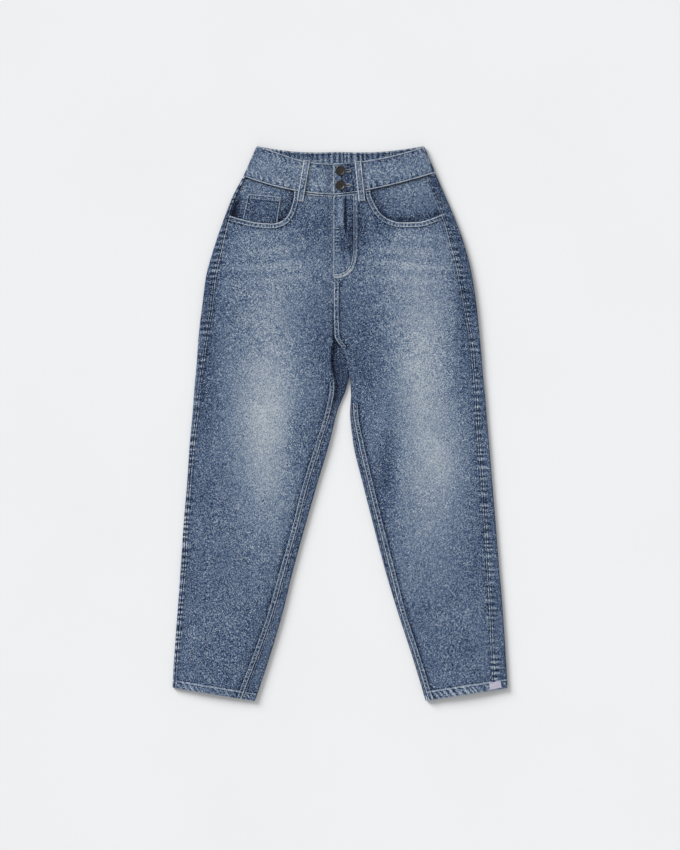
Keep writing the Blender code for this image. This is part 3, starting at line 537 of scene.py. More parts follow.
def puckers(s, pitch, seed):
    """Ridges across a seam, 0 to 1, unevenly spaced and some of them faint."""
    phase = (s + 0.42 * pitch * noise1(s, 2.1 * pitch, seed)) / pitch
    wave = 0.5 + 0.5 * np.cos(2.0 * math.pi * phase)
    return wave**1.3 * (0.62 + 0.38 * noise1(s, 3.7 * pitch, seed + 1))


def window(d, low, high, soft=1.0):
    """1 between two distances, easing to 0 outside."""
    return smooth((d - low) / soft + 0.5) * smooth((high - d) / soft + 0.5)


def bell(d, width):
    return np.exp(-((d / width) ** 2))


# %% [markdown]
# ## The wash
#
# Wear takes the colour off the front of the thighs down to the knees, and the seams, and leaves it in the
# lap, the inner legs and round the fly. Each area is one soft ellipse in a short table.

# %% Where the blue is left and where it is gone
Area = namedtuple("Area", "x y half_width half_height amount")
WASH_BASE = 0.47
FRONT_WASH = [
    Area(-132.0, 60.0, 84.0, 250.0, 0.32),
    Area(-138.0, -60.0, 60.0, 170.0, 0.14),
    Area(142.0, 160.0, 76.0, 150.0, 0.26),
    Area(156.0, -60.0, 74.0, 220.0, 0.31),
    Area(190.0, -70.0, 50.0, 90.0, 0.08),
    Area(-100.0, 290.0, 110.0, 80.0, 0.13),
    Area(120.0, 296.0, 95.0, 85.0, 0.17),
    Area(80.0, -110.0, 26.0, 110.0, -0.14),
    Area(-62.0, -30.0, 30.0, 130.0, -0.06),
    Area(26.0, 352.0, 20.0, 56.0, -0.34),
    Area(18.0, 300.0, 26.0, 36.0, -0.16),
    Area(-52.0, 345.0, 45.0, 55.0, -0.08),
    Area(70.0, 350.0, 34.0, 28.0, -0.12),
    Area(-30.0, 130.0, 40.0, 80.0, -0.10),
    Area(45.0, 120.0, 44.0, 90.0, -0.08),
    Area(-240.0, 170.0, 22.0, 230.0, -0.14),
    Area(222.0, 230.0, 22.0, 120.0, -0.14),
]
BACK_WASH = [
    Area(-110.0, 250.0, 110.0, 130.0, 0.20),
    Area(105.0, 250.0, 110.0, 130.0, 0.20),
    Area(-150.0, -120.0, 90.0, 160.0, 0.08),
    Area(160.0, -120.0, 90.0, 160.0, 0.08),
]


def wash_at(x, y, areas):
    total = WASH_BASE + 0.035 * noise2(x, y, 70.0, 11) + 0.03 * noise2(x, y, 24.0, 12)
    for area in areas:
        radius = np.hypot((x - area.x) / area.half_width, (y - area.y) / area.half_height)
        total = total + area.amount * np.exp(-1.4 * radius**2.2)
    return total


# %% [markdown]
# ## One piece of cloth
#
# Every piece is a grid of points on its outer side. Relief is added along the surface's own normal, so the
# same words work on top, round a fold and underneath. The wall is then given inwards by Solidify.

# %% What a surface shows
class Finish:
    """A grid's relief in millimetres, its wash and painted shade, its distances to stitched edges, and its ticks."""

    def __init__(self, like, wash):
        self.relief = np.zeros(like.shape[:2])
        self.wash = np.zeros(like.shape[:2]) + wash
        self.one_row = np.full(like.shape[:2], 5.0)
        self.two_rows = np.full(like.shape[:2], 16.0)
        self.tick_phase = np.zeros(like.shape[:2])
        self.tick = np.zeros(like.shape[:2])

    def add(self, relief=0.0, wash=0.0):
        self.relief = self.relief + relief
        self.wash = self.wash + wash

    def edge(self, distance):
        """An edge with one row of stitches beside it."""
        self.one_row = np.minimum(self.one_row, distance)

    def double_edge(self, distance, share=1.0):
        """An edge with two rows, and a ridge of doubled cloth between them."""
        self.two_rows = np.minimum(self.two_rows, distance + 16.0 * (1.0 - share))
        self.add(relief=RIDGE * window(distance, 0.5, RIDGE_WIDTH, 1.6) * share)

    def puckers(self, s, pitch, seed, zone, height, tone):
        """Ridges that a seam pulls up, in the form and, sharper, in the wash."""
        phase = (s + 0.55 * pitch * noise1(s, 1.9 * pitch, seed)) / pitch
        strength = zone * (0.60 + 0.40 * noise1(s, 3.1 * pitch, seed + 1))
        self.add(relief=height * (0.5 + 0.5 * np.cos(2.0 * math.pi * phase)) * strength)
        stronger = np.abs(tone * strength) > np.abs(self.tick)
        self.tick_phase = np.where(stronger, phase, self.tick_phase)
        self.tick = np.where(stronger, tone * strength, self.tick)


# %% From a grid to a piece
Sheet = namedtuple("Sheet", "points finish flip cells")


def spans(points, axis):
    """The distance from the first row or column, along the cloth."""
    steps = np.linalg.norm(np.diff(points, axis=axis), axis=2)
    start = np.zeros_like(np.take(steps, [0], axis=axis))
    return np.concatenate([start, np.cumsum(steps, axis=axis)], axis=axis)


def raised(sheet):
    """The grid's points with their relief."""
    normal = np.cross(np.gradient(sheet.points, axis=1), np.gradient(sheet.points, axis=0))
    normal *= (-1.0 if sheet.flip else 1.0) / np.maximum(np.linalg.norm(normal, axis=2, keepdims=True), 1e-9)
    points = sheet.points + normal * sheet.finish.relief[..., None]
    points[..., 2] = np.maximum(points[..., 2], 0.02)
    return points


def cells_of(index, fine=None, coarse=None):
    """The grid's cells. Between two rows that aren't fine only the coarse columns are used."""
    rows, columns = index.shape
    if fine is None:
        quads = np.stack([index[:-1, :-1], index[:-1, 1:], index[1:, 1:], index[1:, :-1]], -1)
        return quads.reshape(-1, 4).tolist()
    cells = []
    for i in range(rows - 1):
        both = fine[i] and fine[i + 1]
        used = range(columns) if both else coarse
        for a, b in zip(used[:-1], used[1:]):
            above = index[i, a : b + 1] if fine[i] else index[i, [a, b]]
            below = index[i + 1, a : b + 1] if fine[i + 1] else index[i + 1, [a, b]]
            cells.append([*above.tolist(), *below.tolist()[::-1]])
    return cells


pieces = {}
areas = {}


def plain_mesh(made, crisp=60):
    """The object's mesh with its modifiers worked in, and hard corners marked."""
    bpy.context.view_layer.update()
    seen = made.evaluated_get(bpy.context.evaluated_depsgraph_get())
    mesh = bpy.data.meshes.new_from_object(seen)
    made.modifiers.clear()
    made.data = mesh
    mesh.shade_smooth()
    mesh.set_sharp_from_angle(angle=math.radians(crisp))


def stands_for(made, node):
    pieces[made.name] = made
    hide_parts(node)
    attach(made, "root")


def cloth(name, sheets, wall, node, inside=DENIM_INSIDE, outside=DENIM, thick=None, openings=()):
    """A closed piece of cloth that stands for a node of the frame."""
    words = ("wash", "one_row", "two_rows", "tick_phase", "tick")
    places, cells = [], []
    shown = {word: [] for word in words}
    for sheet in sheets:
        points = raised(sheet)
        start = sum(len(p) for p in places)
        index = np.arange(points.shape[0] * points.shape[1]).reshape(points.shape[:2])
        found = sheet.cells(index, points) if sheet.cells else cells_of(index)
        cells += [[start + k for k in (cell[::-1] if sheet.flip else cell)] for cell in found]
        places.append(points.reshape(-1, 3))
        for word in words:
            shown[word].append(getattr(sheet.finish, word).ravel())
    mesh = bpy.data.meshes.new(name)
    mesh.from_pydata(np.concatenate(places) * MM, [], cells)
    for word in words:
        layer = mesh.attributes.new(word, "FLOAT", "POINT")
        layer.data.foreach_set("value", np.concatenate(shown[word]).astype(np.float32))
    bm = bmesh.new()
    bm.from_mesh(mesh)
    bmesh.ops.delete(bm, geom=[v for v in bm.verts if not v.link_faces], context="VERTS")
    bmesh.ops.remove_doubles(bm, verts=bm.verts, dist=0.00003)
    areas[name] = sum(face.calc_area() for face in bm.faces)
    bm.to_mesh(mesh)
    bm.free()
    mesh.materials.append(outside)
    mesh.materials.append(inside)
    made = bpy.data.objects.new(name, mesh)
    bpy.context.scene.collection.objects.link(made)
    solid = made.modifiers.new("wall", "SOLIDIFY")
    solid.thickness, solid.offset, solid.material_offset = wall * MM, -1.0, 1
    if thick is not None:
        solid.thickness = HEM_CLOTH * MM
        group = made.vertex_groups.new(name="thick")
        for vertex in mesh.vertices:
            group.add([vertex.index], 1.0 if thick(vertex.co / MM) else wall / HEM_CLOTH, "REPLACE")
        solid.vertex_group = group.name
    for cutter in openings:
        opening = made.modifiers.new("opening", "BOOLEAN")
        opening.object, opening.operation, opening.solver = cutter, "DIFFERENCE", "EXACT"
    plain_mesh(made)
    stands_for(made, node)
    return made


def places_down(leg, start, end, step):
    """Places down the leg that are evenly spaced along the cloth."""
    fine = np.linspace(0.0, HEM, 2000)
    row = station(leg, fine)
    length = np.concatenate([[0.0], np.cumsum(np.hypot(np.diff(row.outer_x), np.diff(row.outer_y)))])
    low, high = np.interp([start, end], fine, length)
    even = np.linspace(low, high, int(round((high - low) / step)) + 1)
    return np.interp(even, length, fine)[:, None]


# %% [markdown]
# ## Pocket mouths
#
# The front panel is cut away along a smooth curve. Rather than cut the fine mesh with another one, the cells
# inside the curve are left out and the cells along it are drawn onto it, which keeps the grid and its wash.

# %% Distances to a pocket mouth
def curved(points, per_step=10):
    place = np.linspace(0.0, len(points) - 1.0, per_step * (len(points) - 1) + 1)
    return np.stack([between([p[k] for p in points], place) for k in (0, 1)], -1)


def nearest_on(line, x, y):
    """The nearest point of a line: its x and y, the distance, and how far along the line it is."""
    steps = np.hypot(*np.diff(line, axis=0).T)
    along = np.concatenate([[0.0], np.cumsum(steps)])
    best = np.full(np.shape(x), 1e9)
    near_x, near_y, place = np.array(x, float), np.array(y, float), np.zeros(np.shape(x))
    for k in range(len(line) - 1):
        (ax, ay), (bx, by) = line[k], line[k + 1]
        t = np.clip(((x - ax) * (bx - ax) + (y - ay) * (by - ay)) / steps[k] ** 2, 0.0, 1.0)
        px, py = ax + (bx - ax) * t, ay + (by - ay) * t
        distance = np.hypot(x - px, y - py)
        closer = distance < best
        best = np.where(closer, distance, best)
        near_x, near_y = np.where(closer, px, near_x), np.where(closer, py, near_y)
        place = np.where(closer, along[k] + t * steps[k], place)
    return near_x, near_y, best, place


def inside_outline(outline, x, y):
    inside = np.zeros(np.shape(x), bool)
    for (ax, ay), (bx, by) in zip(outline, np.roll(outline, -1, axis=0)):
        crosses = (ay > y) != (by > y)
        inside ^= crosses & (x < (bx - ax) * (y - ay) / (by - ay + 1e-12) + ax)
    return inside


MOUTHS = {"right": curved(RIGHT_MOUTH), "left": curved(LEFT_MOUTH)}


def mouth_outline(mouth):
    far = mouth[-1][0] + 40.0 * np.sign(mouth[-1][0])
    return np.vstack([mouth, [(far, mouth[-1][1]), (far, 520.0), (mouth[0][0], 520.0)]])


# %% [markdown]
# ## The front panels
#
# Each front is one cut piece from waist seam to hem. Its relief is a sum of plain things a sewer would name:
# the felled seam down the inner leg, the puckers that the outseam draws up, the roped hem, the doubled cloth
# inside the fly's stitching, and the rolled edge of the pocket mouth. High places are paler, in the same sum,
# and painted shade darkens the creases, the seam lines and the fly's crease.

# %% The fronts
def tuck(leg, place, x, depth):
    """How far the right side dips to pass under the fly and the band's left end."""
    if leg is LEFT_LEG:
        return 0.0
    return depth * (1.0 - smooth((place - 5.5) / 2.0)) * smooth((x - CENTRE_FRONT_X + 16.0) / 14.0)


def roped_hem(finish, from_hem, across, depth, seed):
    """A turned-up hem twists as it is sewn: slanted ropes inside it, puckers above. Painted shade darkens its stitch
    line, and the cloth just above is a little darker.
    """
    body = window(from_hem, -5.0, depth - 0.8, 1.6)
    above = smooth((from_hem - depth + 1.0) / 2.0) * bell(from_hem - depth, 9.0)
    finish.add(relief=0.5 * body, wash=-0.10 * bell(from_hem - depth, 1.4) + 0.05 * body - 0.06 * above)
    finish.puckers(across + 0.8 * from_hem, 9.5, seed, body + 0.45 * above, 0.45, 0.62)
    finish.edge(np.abs(from_hem - depth) + 0.8)


def felled_seam(finish, from_edge, s, share, seed):
    """A felled seam: doubled cloth between two rows of stitches, ticked by the thread's pull, with painted shade
    along its edge and beside it.
    """
    finish.double_edge(from_edge - 0.8, share)
    finish.add(wash=-0.4 * bell(from_edge, 1.0) * share)
    finish.puckers(s, 6.4, seed, window(from_edge, 2.6, 8.0, 2.0) * share, 0.2, 0.62)
    beside = bell(from_edge - 12.0, 5.0) * share * smooth((from_edge - 8.5) / 2.0)
    finish.add(wash=-0.13 * beside * (1.0 - 0.8 * puckers(s, 15.0, seed + 7)))


FLY_CURVE = curved([
    (29.0, 430.0), (30.5, 395.0), (30.5, 345.0), (30.3, 312.0), (27.0, 288.0),
    (16.0, 270.0), (1.0, 262.5), (-12.0, 261.5),
])
FLY_OUTLINE = np.vstack([FLY_CURVE, [(-40.0, 261.5), (-40.0, 430.0)]])


def fly(finish, x, y):
    """The doubled cloth inside the J, its stitched edge, and the bulge where the fly folds over the zip, with painted
    shade in the crease beside the bulge and at the tack below it.
    """
    _, _, distance, along = nearest_on(FLY_CURVE, x, y)
    inside = inside_outline(FLY_OUTLINE, x, y)
    signed = np.where(inside, -distance, distance)
    bulge = bell(x - 1.5, 6.0) * window(y, 352.0, 406.0, 12.0)
    crease = bell(x - 10.0, 2.0) * window(y, 346.0, 404.0, 8.0)
    notch = bell(np.hypot(x + 2.0, y - 350.0), 4.0)
    low = window(y, 270.0, 308.0, 14.0) * window(x, -10.0, 24.0, 6.0)
    finish.add(relief=0.45 * smooth((2.0 - signed) / 3.0) + 1.0 * bulge - 0.9 * crease)
    finish.add(wash=0.16 * bulge - 0.75 * crease - 0.45 * notch + 0.10 * low - 0.10 * window(y, 308.0, 350.0, 8.0) * bell(x - 12.0, 14.0))
    finish.edge(np.abs(signed + 1.2) + 0.2)
    finish.edge(np.abs(signed + 6.0) + 1.6)
    finish.add(wash=0.10 * bell(signed - 9.0, 6.0) * window(y, 262.0, 318.0, 12.0))
    finish.puckers(x + 0.08 * y, 7.5, 125, low, 0.35, 0.5)
    finish.puckers(y, 7.0, 127, bell(x + 5.5, 3.6) * window(y, 306.0, 350.0, 6.0), 0.3, 0.8)
    finish.puckers(along, 8.5, 121, bell(signed + 3.5, 3.5), 0.2, 0.2)
    finish.edge(np.abs(x - CENTRE_FRONT_X) + 30.0 * (1.0 - window(y, 262.0, 430.0, 4.0)))


def whiskers(finish, x, y):
    """Faint worn lines that fan across the lap."""
    lap = np.exp(-(((y - 290.0) / 52.0) ** 2)) * smooth((np.abs(x) - 34.0) / 50.0)
    wave = np.sin((y + 0.10 * np.abs(x) + 6.0 * noise2(x, y, 70.0, 111)) / 4.2)
    finish.add(relief=0.10 * lap * wave, wash=0.06 * lap * wave)


def front_columns(span, fly_width):
    """Distances from the inner edge, one per column, and which of the columns are the coarse ones."""
    inner = np.linspace(0.0, fly_width, int(fly_width / 1.5) + 1)
    outer = 14.0 - np.linspace(0.0, 14.0, 11)[1:]
    middle = np.linspace(0.0, 1.0, 100)[1:]
    across = fly_width + (span - fly_width - 14.0) * middle[None, :]
    distances = np.concatenate([inner[None, :] + 0.0 * span, across, span - outer[None, :]], 1)
    coarse = [*range(len(inner)), *range(len(inner) + 2, len(inner) + 99, 3)]
    coarse += list(range(len(inner) + 99, distances.shape[1]))
    return distances, coarse


def front(side, leg):
    mouth = MOUTHS[side]
    top, low = places_down(leg, 0.02, 2.7, 1.7), places_down(leg, 16.7, HEM, 1.5)
    place = np.concatenate([top, places_down(leg, 2.7, 16.7, 2.7)[1:-1], low])
    fine = np.array([True] * len(top) + [False] * (len(place) - len(top) - len(low)) + [True] * len(low))
    row = station(leg, place)
    span = reach_across(row) - row.outseam
    from_inner, coarse = front_columns(span, 45.0 if leg is LEFT_LEG else 13.5)
    x, y = front_plan(leg, place, 1.0 - from_inner / reach_across(row))

    # The cells of the pocket mouth are left out, and those along it are drawn onto it.
    outline = mouth_outline(mouth)
    centre = [(c[:-1, :-1] + c[1:, :-1] + c[:-1, 1:] + c[1:, 1:]) / 4.0 for c in (x, y)]
    gone = inside_outline(outline, *centre)
    beside = np.zeros((2, *x.shape), bool)
    for down, across in ((0, 0), (0, 1), (1, 0), (1, 1)):
        where = np.s_[down : x.shape[0] - 1 + down, across : x.shape[1] - 1 + across]
        beside[0][where] |= ~gone
        beside[1][where] |= gone
    near_x, near_y, distance, along = nearest_on(mouth, x, y)
    rim = beside[0] & beside[1] & (distance < 6.0)
    x, y = np.where(rim, near_x, x), np.where(rim, near_y, y)
    distance = np.where(rim, 0.0, distance)

    z = top_height(leg, place, x, y) + fold_relief(x, y) - tuck(leg, place, x, CLOTH + 0.4)
    points = np.stack([x, y, z], -1)
    from_outer = span - from_inner
    from_top = spans(points, 0)
    finish = Finish(points, wash_at(x, y, FRONT_WASH))
    finish.add(relief=0.30 * noise2(x, y, 75.0, 21) + 0.13 * noise2(x, y, 26.0, 22))
    # Painted shade: the creases' troughs are darker.
    finish.add(wash=0.07 * np.minimum(fold_relief(x, y), 0.0))
    shown = smooth((place - (3.75 if leg is LEFT_LEG else 8.5)) / 0.4)
    if leg is LEFT_LEG:
        shown = shown * (1.0 - window(y, 40.0, 134.0, 8.0))
    felled_seam(finish, from_inner, y, shown, 31 if leg is LEFT_LEG else 41)
    if leg is RIGHT_LEG:
        # Painted shadow along the right front's folded inner edge, where its inseam is hidden under the fold.
        finish.add(wash=-0.34 * bell(from_inner, 2.0) * (1.0 - shown) * smooth((place - 2.5) / 1.0))
    # The outseam's puckers, and its edge rolling under, with painted shade along the seam line and beside it.
    reach = 5.5 + 3.0 * noise1(y, 40.0, 52)
    finish.puckers(y, 11.0, 51 if leg is LEFT_LEG else 61, bell(from_outer - 1.0, reach), 0.42, 0.7)
    finish.add(relief=-0.5 * bell(from_outer, 1.2), wash=-0.10 * bell(from_outer, 9.0) - 0.45 * bell(from_outer, 1.1))
    finish.edge(from_outer - 0.4)
    roped_hem(finish, from_top[-1:] - from_top, x, 15.0 if leg is LEFT_LEG else 12.5, 71 if leg is LEFT_LEG else 81)
    finish.puckers(x, 9.0, 91, bell(from_top, 7.0), 0.25, 0.22)
    finish.edge(from_top)
    # The rolled, double-stitched edge of the pocket mouth.
    finish.double_edge(distance)
    finish.puckers(along, 6.0, 101, window(distance, 2.4, 7.8, 2.0), 0.15, 0.8)
    whiskers(finish, x, y)
    if leg is LEFT_LEG:
        fly(finish, x, y)

    def cells(index, points):
        found = cells_of(index, fine, coarse)
        flat = np.concatenate([points[..., 0].ravel()[:, None], points[..., 1].ravel()[:, None]], 1)
        middle = np.array([flat[cell].mean(0) for cell in found])
        inside = inside_outline(outline, middle[:, 0], middle[:, 1])
        return [cell for cell, gone in zip(found, inside) if not gone]

    return Sheet(points, finish, leg is LEFT_LEG, cells)


def in_hem(leg):
    """Whether a vertex lies in the leg's hem."""
    stitch = station(leg, HEM_STITCH)
    slope = (stitch.inner_y - stitch.outer_y) / (stitch.inner_x - stitch.outer_x)
    return lambda co: co[1] < stitch.outer_y + slope * (co[0] - stitch.outer_x) + 1.0


for side, leg in (("right", RIGHT_LEG), ("left", LEFT_LEG)):
    made = cloth("denim_front_" + side, [front(side, leg)], CLOTH, "front_" + side, thick=in_hem(leg))
    print("front", side, len(made.data.polygons), "cells")

# %% [markdown]
# ## The back panels and the yoke
#
# The back shows on top as a strip beside each seam, because the jeans were laid with their side seams rolled
# to the front. The same puckers cross the outseam, so both sides share a seed. Underneath is the whole seat:
# the yoke, a felled centre back and the creases of cloth that lies on a table.

# %% The backs
UNDER = np.linspace(2.0, 3.0, 52)[1:]
RINGS = [*np.linspace(0.0, 0.6, 8), 0.8, *np.linspace(1.0, 2.0, 11), *UNDER]
INNER_RINGS = [*np.linspace(3.0, 4.0, 9), *np.linspace(4.0, 5.0, 11)[1:]]


def back_finish(leg, points, rings):
    """The finish round the back panel: puckers by the outseam, soft creases on the underside."""
    x, y = points[..., 0], points[..., 1]
    ring = np.asarray(rings)[None, :] + 0.0 * y
    from_seam = spans(points, 1)
    under = smooth((ring - 2.0) / 0.03) * smooth((3.0 - ring) / 0.03)
    seed = 51 if leg is LEFT_LEG else 61
    on_top = WASH_BASE - 0.05 + 0.08 * noise2(x, y, 30.0, 133) - 0.12 * smooth((y - 120.0) / 120.0)
    finish = Finish(points, np.where(ring > 2.0, wash_at(x, y, BACK_WASH), on_top))
    reach = 10.0 + 4.0 * noise1(y, 33.0, seed + 2)
    finish.puckers(y, 11.0, seed, bell(from_seam - 1.0, reach), 0.42, 0.95)
    # Painted shade along the outseam's crevice.
    finish.add(wash=-0.45 * bell(from_seam, 1.1))
    creases = 0.35 * (noise2(x, y, 60.0, 131) - 1.0) + 0.15 * (noise2(x, y, 20.0, 132) - 1.0)
    finish.add(relief=creases * under * smooth((from_seam - 20.0) / 25.0) - 0.4 * bell(from_seam, 1.0))
    finish.edge(from_seam + 0.2)
    finish.relief = finish.relief * smooth(np.abs(ring - 3.0) / 0.05)
    return finish


def back(leg):
    first = 1.412
    split = places_down(leg, SPLIT, HEM, 2.8)
    place = np.concatenate([places_down(leg, first, SPLIT, 2.8)[:-1], split])[:, 0]
    lowering = np.maximum(0.0, 3.0 - place) / (3.0 - first)
    points = np.stack([ring_point(leg, place + lowering * (yoke_seam(r) - 1.4), r) for r in RINGS], 1)
    finish = back_finish(leg, points, RINGS)
    down = spans(points, 0)
    under = smooth((np.asarray(RINGS)[None, :] - 2.0) / 0.02)
    depth, seed = (15.0, 71) if leg is LEFT_LEG else (12.5, 81)
    calm = 0.0 * under + finish.relief
    roped_hem(finish, down[-1:] - down, points[..., 0], depth, seed)
    finish.relief = np.where(under > 0.5, np.minimum(calm, 0.0), finish.relief)
    to_centre = spans(points[:, ::-1], 1)[:, ::-1]
    seat = under * smooth((7.0 - place[:, None]) / 0.5)
    if leg is LEFT_LEG:
        felled_seam(finish, to_centre, points[..., 1], seat, 141)
    felled_seam(finish, down, points[..., 0], under, 143)
    outer = Sheet(points, finish, leg is LEFT_LEG, None)

    inner_points = np.stack([ring_point(leg, split[:, 0], r) for r in INNER_RINGS], 1)
    x, y = inner_points[..., 0], inner_points[..., 1]
    ring = np.asarray(INNER_RINGS)[None, :]
    from_inseam = spans(inner_points[:, ::-1], 1)[:, ::-1]
    down = spans(inner_points, 0)
    lap_shade = -0.28 * smooth((y - 10.0) / 60.0) + 0.10 * bell(x - 12.0, 10.0) * smooth((y - 60.0) / 30.0)
    finish = Finish(inner_points, WASH_BASE - 0.06 + 0.05 * noise2(x, y, 26.0, 152) + lap_shade)
    finish.puckers(y, 13.0, 151, bell(from_inseam, 7.0), 0.2, 0.3)
    # Painted shade along the inseam's crevice.
    finish.add(relief=-0.4 * bell(from_inseam, 1.1), wash=-0.16 * bell(from_inseam - 1.0, 3.0))
    roped_hem(finish, down[-1:] - down, x, depth, seed)
    finish.edge(from_inseam + 0.2)
    finish.relief = finish.relief * smooth((ring - 3.0) / 0.4)
    return [outer, Sheet(inner_points, finish, leg is LEFT_LEG, None)]


def yoke(leg):
    shares = np.linspace(0.0, 1.0, 28)
    points = np.stack([ring_point(leg, 0.02 + (yoke_seam(r) - 0.02) * shares, r) for r in RINGS], 1)
    finish = back_finish(leg, points, RINGS)
    under = smooth((np.asarray(RINGS)[None, :] - 2.0) / 0.02)
    finish.puckers(points[..., 0], 10.0, 161, bell(spans(points, 0), 8.0) * under, 0.0, 0.2)
    finish.edge(spans(points, 0))
    return [Sheet(points, finish, leg is LEFT_LEG, None)]


for side, leg in (("right", RIGHT_LEG), ("left", LEFT_LEG)):
    made = cloth("denim_back_" + side, back(leg), CLOTH, "back_" + side, thick=in_hem(leg))
    print("back", side, len(made.data.polygons), "cells")
    cloth("denim_yoke_" + side, yoke(leg), CLOTH, "yoke_" + side)

# %% [markdown]
# ## The waistband
#
# The band is two layers with all their seam allowance, so it is twice as thick and stands proud. Washing
# shrinks its thread and draws it into short ridges along both edges. Its back is seen from inside, as a dark
# crescent above the front edge.

# %% The waistband
def band_of(leg):
    return LEFT_BAND if leg is LEFT_LEG else RIGHT_BAND


def band_front_plan(leg, share, up):
    band, row = band_of(leg), leg[0]
    low_x = row.outer_x + (CENTRE_FRONT_X - row.outer_x) * share
    on_panel = np.minimum(1.0, (low_x - row.outer_x) / (row.front_x - row.outer_x))
    low_y = front_plan(leg, np.zeros(1), on_panel)[1] + BAND_SEAM_STEP
    drop = 1.0 - np.maximum(0.0, 1.0 - np.abs(share) ** band.ease) ** band.bow
    high_x = band.corner_x + (band.front_x - band.corner_x) * share
    high_y = band.corner_y + (band.front_y - band.corner_y) * drop
    return low_x + (high_x - low_x) * up, low_y + (high_y - low_y) * up


def band_finish(points, wash, seed):
    """Half-moon puckers above the lower stitches, slanted ones under the upper, and a soft roll."""
    x = points[..., 0]
    from_low = spans(points, 0)
    from_high = from_low[-1:] - from_low
    finish = Finish(points, wash + 0.06 * noise2(x, from_low, 16.0, seed + 7))
    low_zone = smooth((17.0 - from_low) / 9.0) * smooth((from_low - 2.5) / 2.0)
    high_zone = smooth((16.0 - from_high) / 9.0) * smooth((from_high - 2.2) / 1.5)
    finish.puckers(x + 0.25 * from_low, 10.5, seed, low_zone, 0.42, 0.5)
    finish.puckers(x - 0.5 * from_high, 9.5, seed + 3, high_zone, 0.3, 0.5)
    finish.add(wash=-0.10 * bell(from_low - 5.0, 3.0) - 0.10 * bell(from_high - 6.0, 5.0))
    finish.add(relief=0.14 * noise2(x, from_low, 18.0, seed + 5) + 0.2 * noise2(x, from_low, 45.0, seed + 6))
    finish.edge(np.minimum(from_low, from_high))
    return finish


def front_band(leg):
    start = (BAND_FOLD_REACH + 0.5 + GAP) / abs(CENTRE_FRONT_X - leg[0].outer_x)
    end = 1.0 if leg is LEFT_LEG else 1.0 + BAND_UNDERLAP / abs(CENTRE_FRONT_X - leg[0].outer_x)
    share = np.linspace(start, end, 110)[None, :]
    up = np.linspace(0.0, 1.0, 38)[:, None]
    x, y = band_front_plan(leg, share, up)
    lift, edge, swell = profile(y)
    from_side = share * abs(CENTRE_FRONT_X - leg[0].outer_x)
    z = lift + edge + BAND_PROUD + swell * smooth((from_side - BAND_FOLD_REACH) / SWELL_REACH)
    points = np.stack([x, y, z - tuck(leg, np.zeros(1), x, BAND_CLOTH + GAP)], -1)
    finish = band_finish(points, 0.59, 171 if leg is LEFT_LEG else 181)
    if leg is LEFT_LEG:
        to_edge = np.abs(x - CENTRE_FRONT_X)
        finish.add(wash=-0.34 * bell(x - 16.0, 17.0) * smooth((to_edge - 7.0) / 9.0))
        finish.edge(to_edge)
    finish.relief = finish.relief * smooth((from_side - start * 160.0) / 4.0)
    return [Sheet(points, finish, leg is LEFT_LEG, None)]


def back_band():
    def half(leg, ring, up):
        band, row = band_of(leg), leg[0]
        low = np.array((row.outer_x, row.outer_y + 0.4))
        edge_x = low[0] + (band.corner_x - low[0]) * up
        edge_y = low[1] + (band.corner_y - low[1]) * up
        middle_x = CENTRE_BACK_X + 0.0 * up
        middle_y = row.inner_y + 0.4 + (BACK_BAND_TOP_Y - row.inner_y - 0.4) * up
        lift, edge, _ = profile(edge_y)
        height = edge + BAND_PROUD
        if ring <= 1.0:
            share = (BAND_FOLD_REACH + 0.5 * (1.0 - ring)) / abs(CENTRE_FRONT_X - row.outer_x)
            x, y = band_front_plan(leg, share, up)
            return np.stack([x, y, lift + height], -1)
        under = unit(middle_x - edge_x, middle_y - edge_y)
        if ring <= 2.0:
            x, y = band_front_plan(leg, 0.03, up)
            to = unit(x - edge_x, y - edge_y) if ring < 1.5 else under
            return turned_edge(edge_x, edge_y, *to, BAND_FOLD_REACH, math.pi * (2.0 - ring), lift, height)
        x0, y0 = edge_x + under[0] * BAND_FOLD_REACH, edge_y + under[1] * BAND_FOLD_REACH
        share = ring - 2.0
        y = y0 + (middle_y - y0) * share - (y0 - middle_y) * 0.5 * math.sin(math.pi * share) * up
        return np.stack([x0 + (middle_x - x0) * share, y, lift], -1)

    up = np.linspace(0.0, 1.0, 30)
    rings = [0.0, *np.linspace(1.0, 2.0, 9), *np.linspace(2.0, 3.0, 64)[1:]]
    columns = [half(RIGHT_LEG, ring, up) for ring in rings]
    columns += [half(LEFT_LEG, ring, up) for ring in reversed(rings[:-1])]
    points = np.stack(columns, 1)
    x = points[..., 0]
    finish = band_finish(points, 0.47, 191)
    under = np.abs(points[..., 2] - 1.6) < 0.01
    finish.relief = np.where(under, np.minimum(finish.relief, 0.0), 0.0)
    finish.tick = np.zeros(x.shape)
    finish.puckers(x, 9.0, 195, 0.0 * x + 1.0, 0.0, 0.75)
    return [Sheet(points, finish, True, None)]


BUTTON_X, BUTTON_YS, BUTTON_RADIUS = 0.5, {"button_upper": 454.0, "button_lower": 428.0}, 9.0
EYE_RADIUS, SLIT_HALF, SLIT_END_X = 2.6, 0.9, 18.0


def keyhole(y, grown=0.0):
    """A keyhole's outline from above: a round eye for the shank and a slit away from the edge."""
    half, radius = SLIT_HALF + grown, EYE_RADIUS + grown
    open_angle = math.asin(half / radius)
    arc = np.linspace(open_angle, 2.0 * math.pi - open_angle, 15)
    eye = [(BUTTON_X + radius * math.cos(a), y + radius * math.sin(a)) for a in arc]
    return [*eye, (SLIT_END_X, y - half), (SLIT_END_X + half, y), (SLIT_END_X, y + half)]


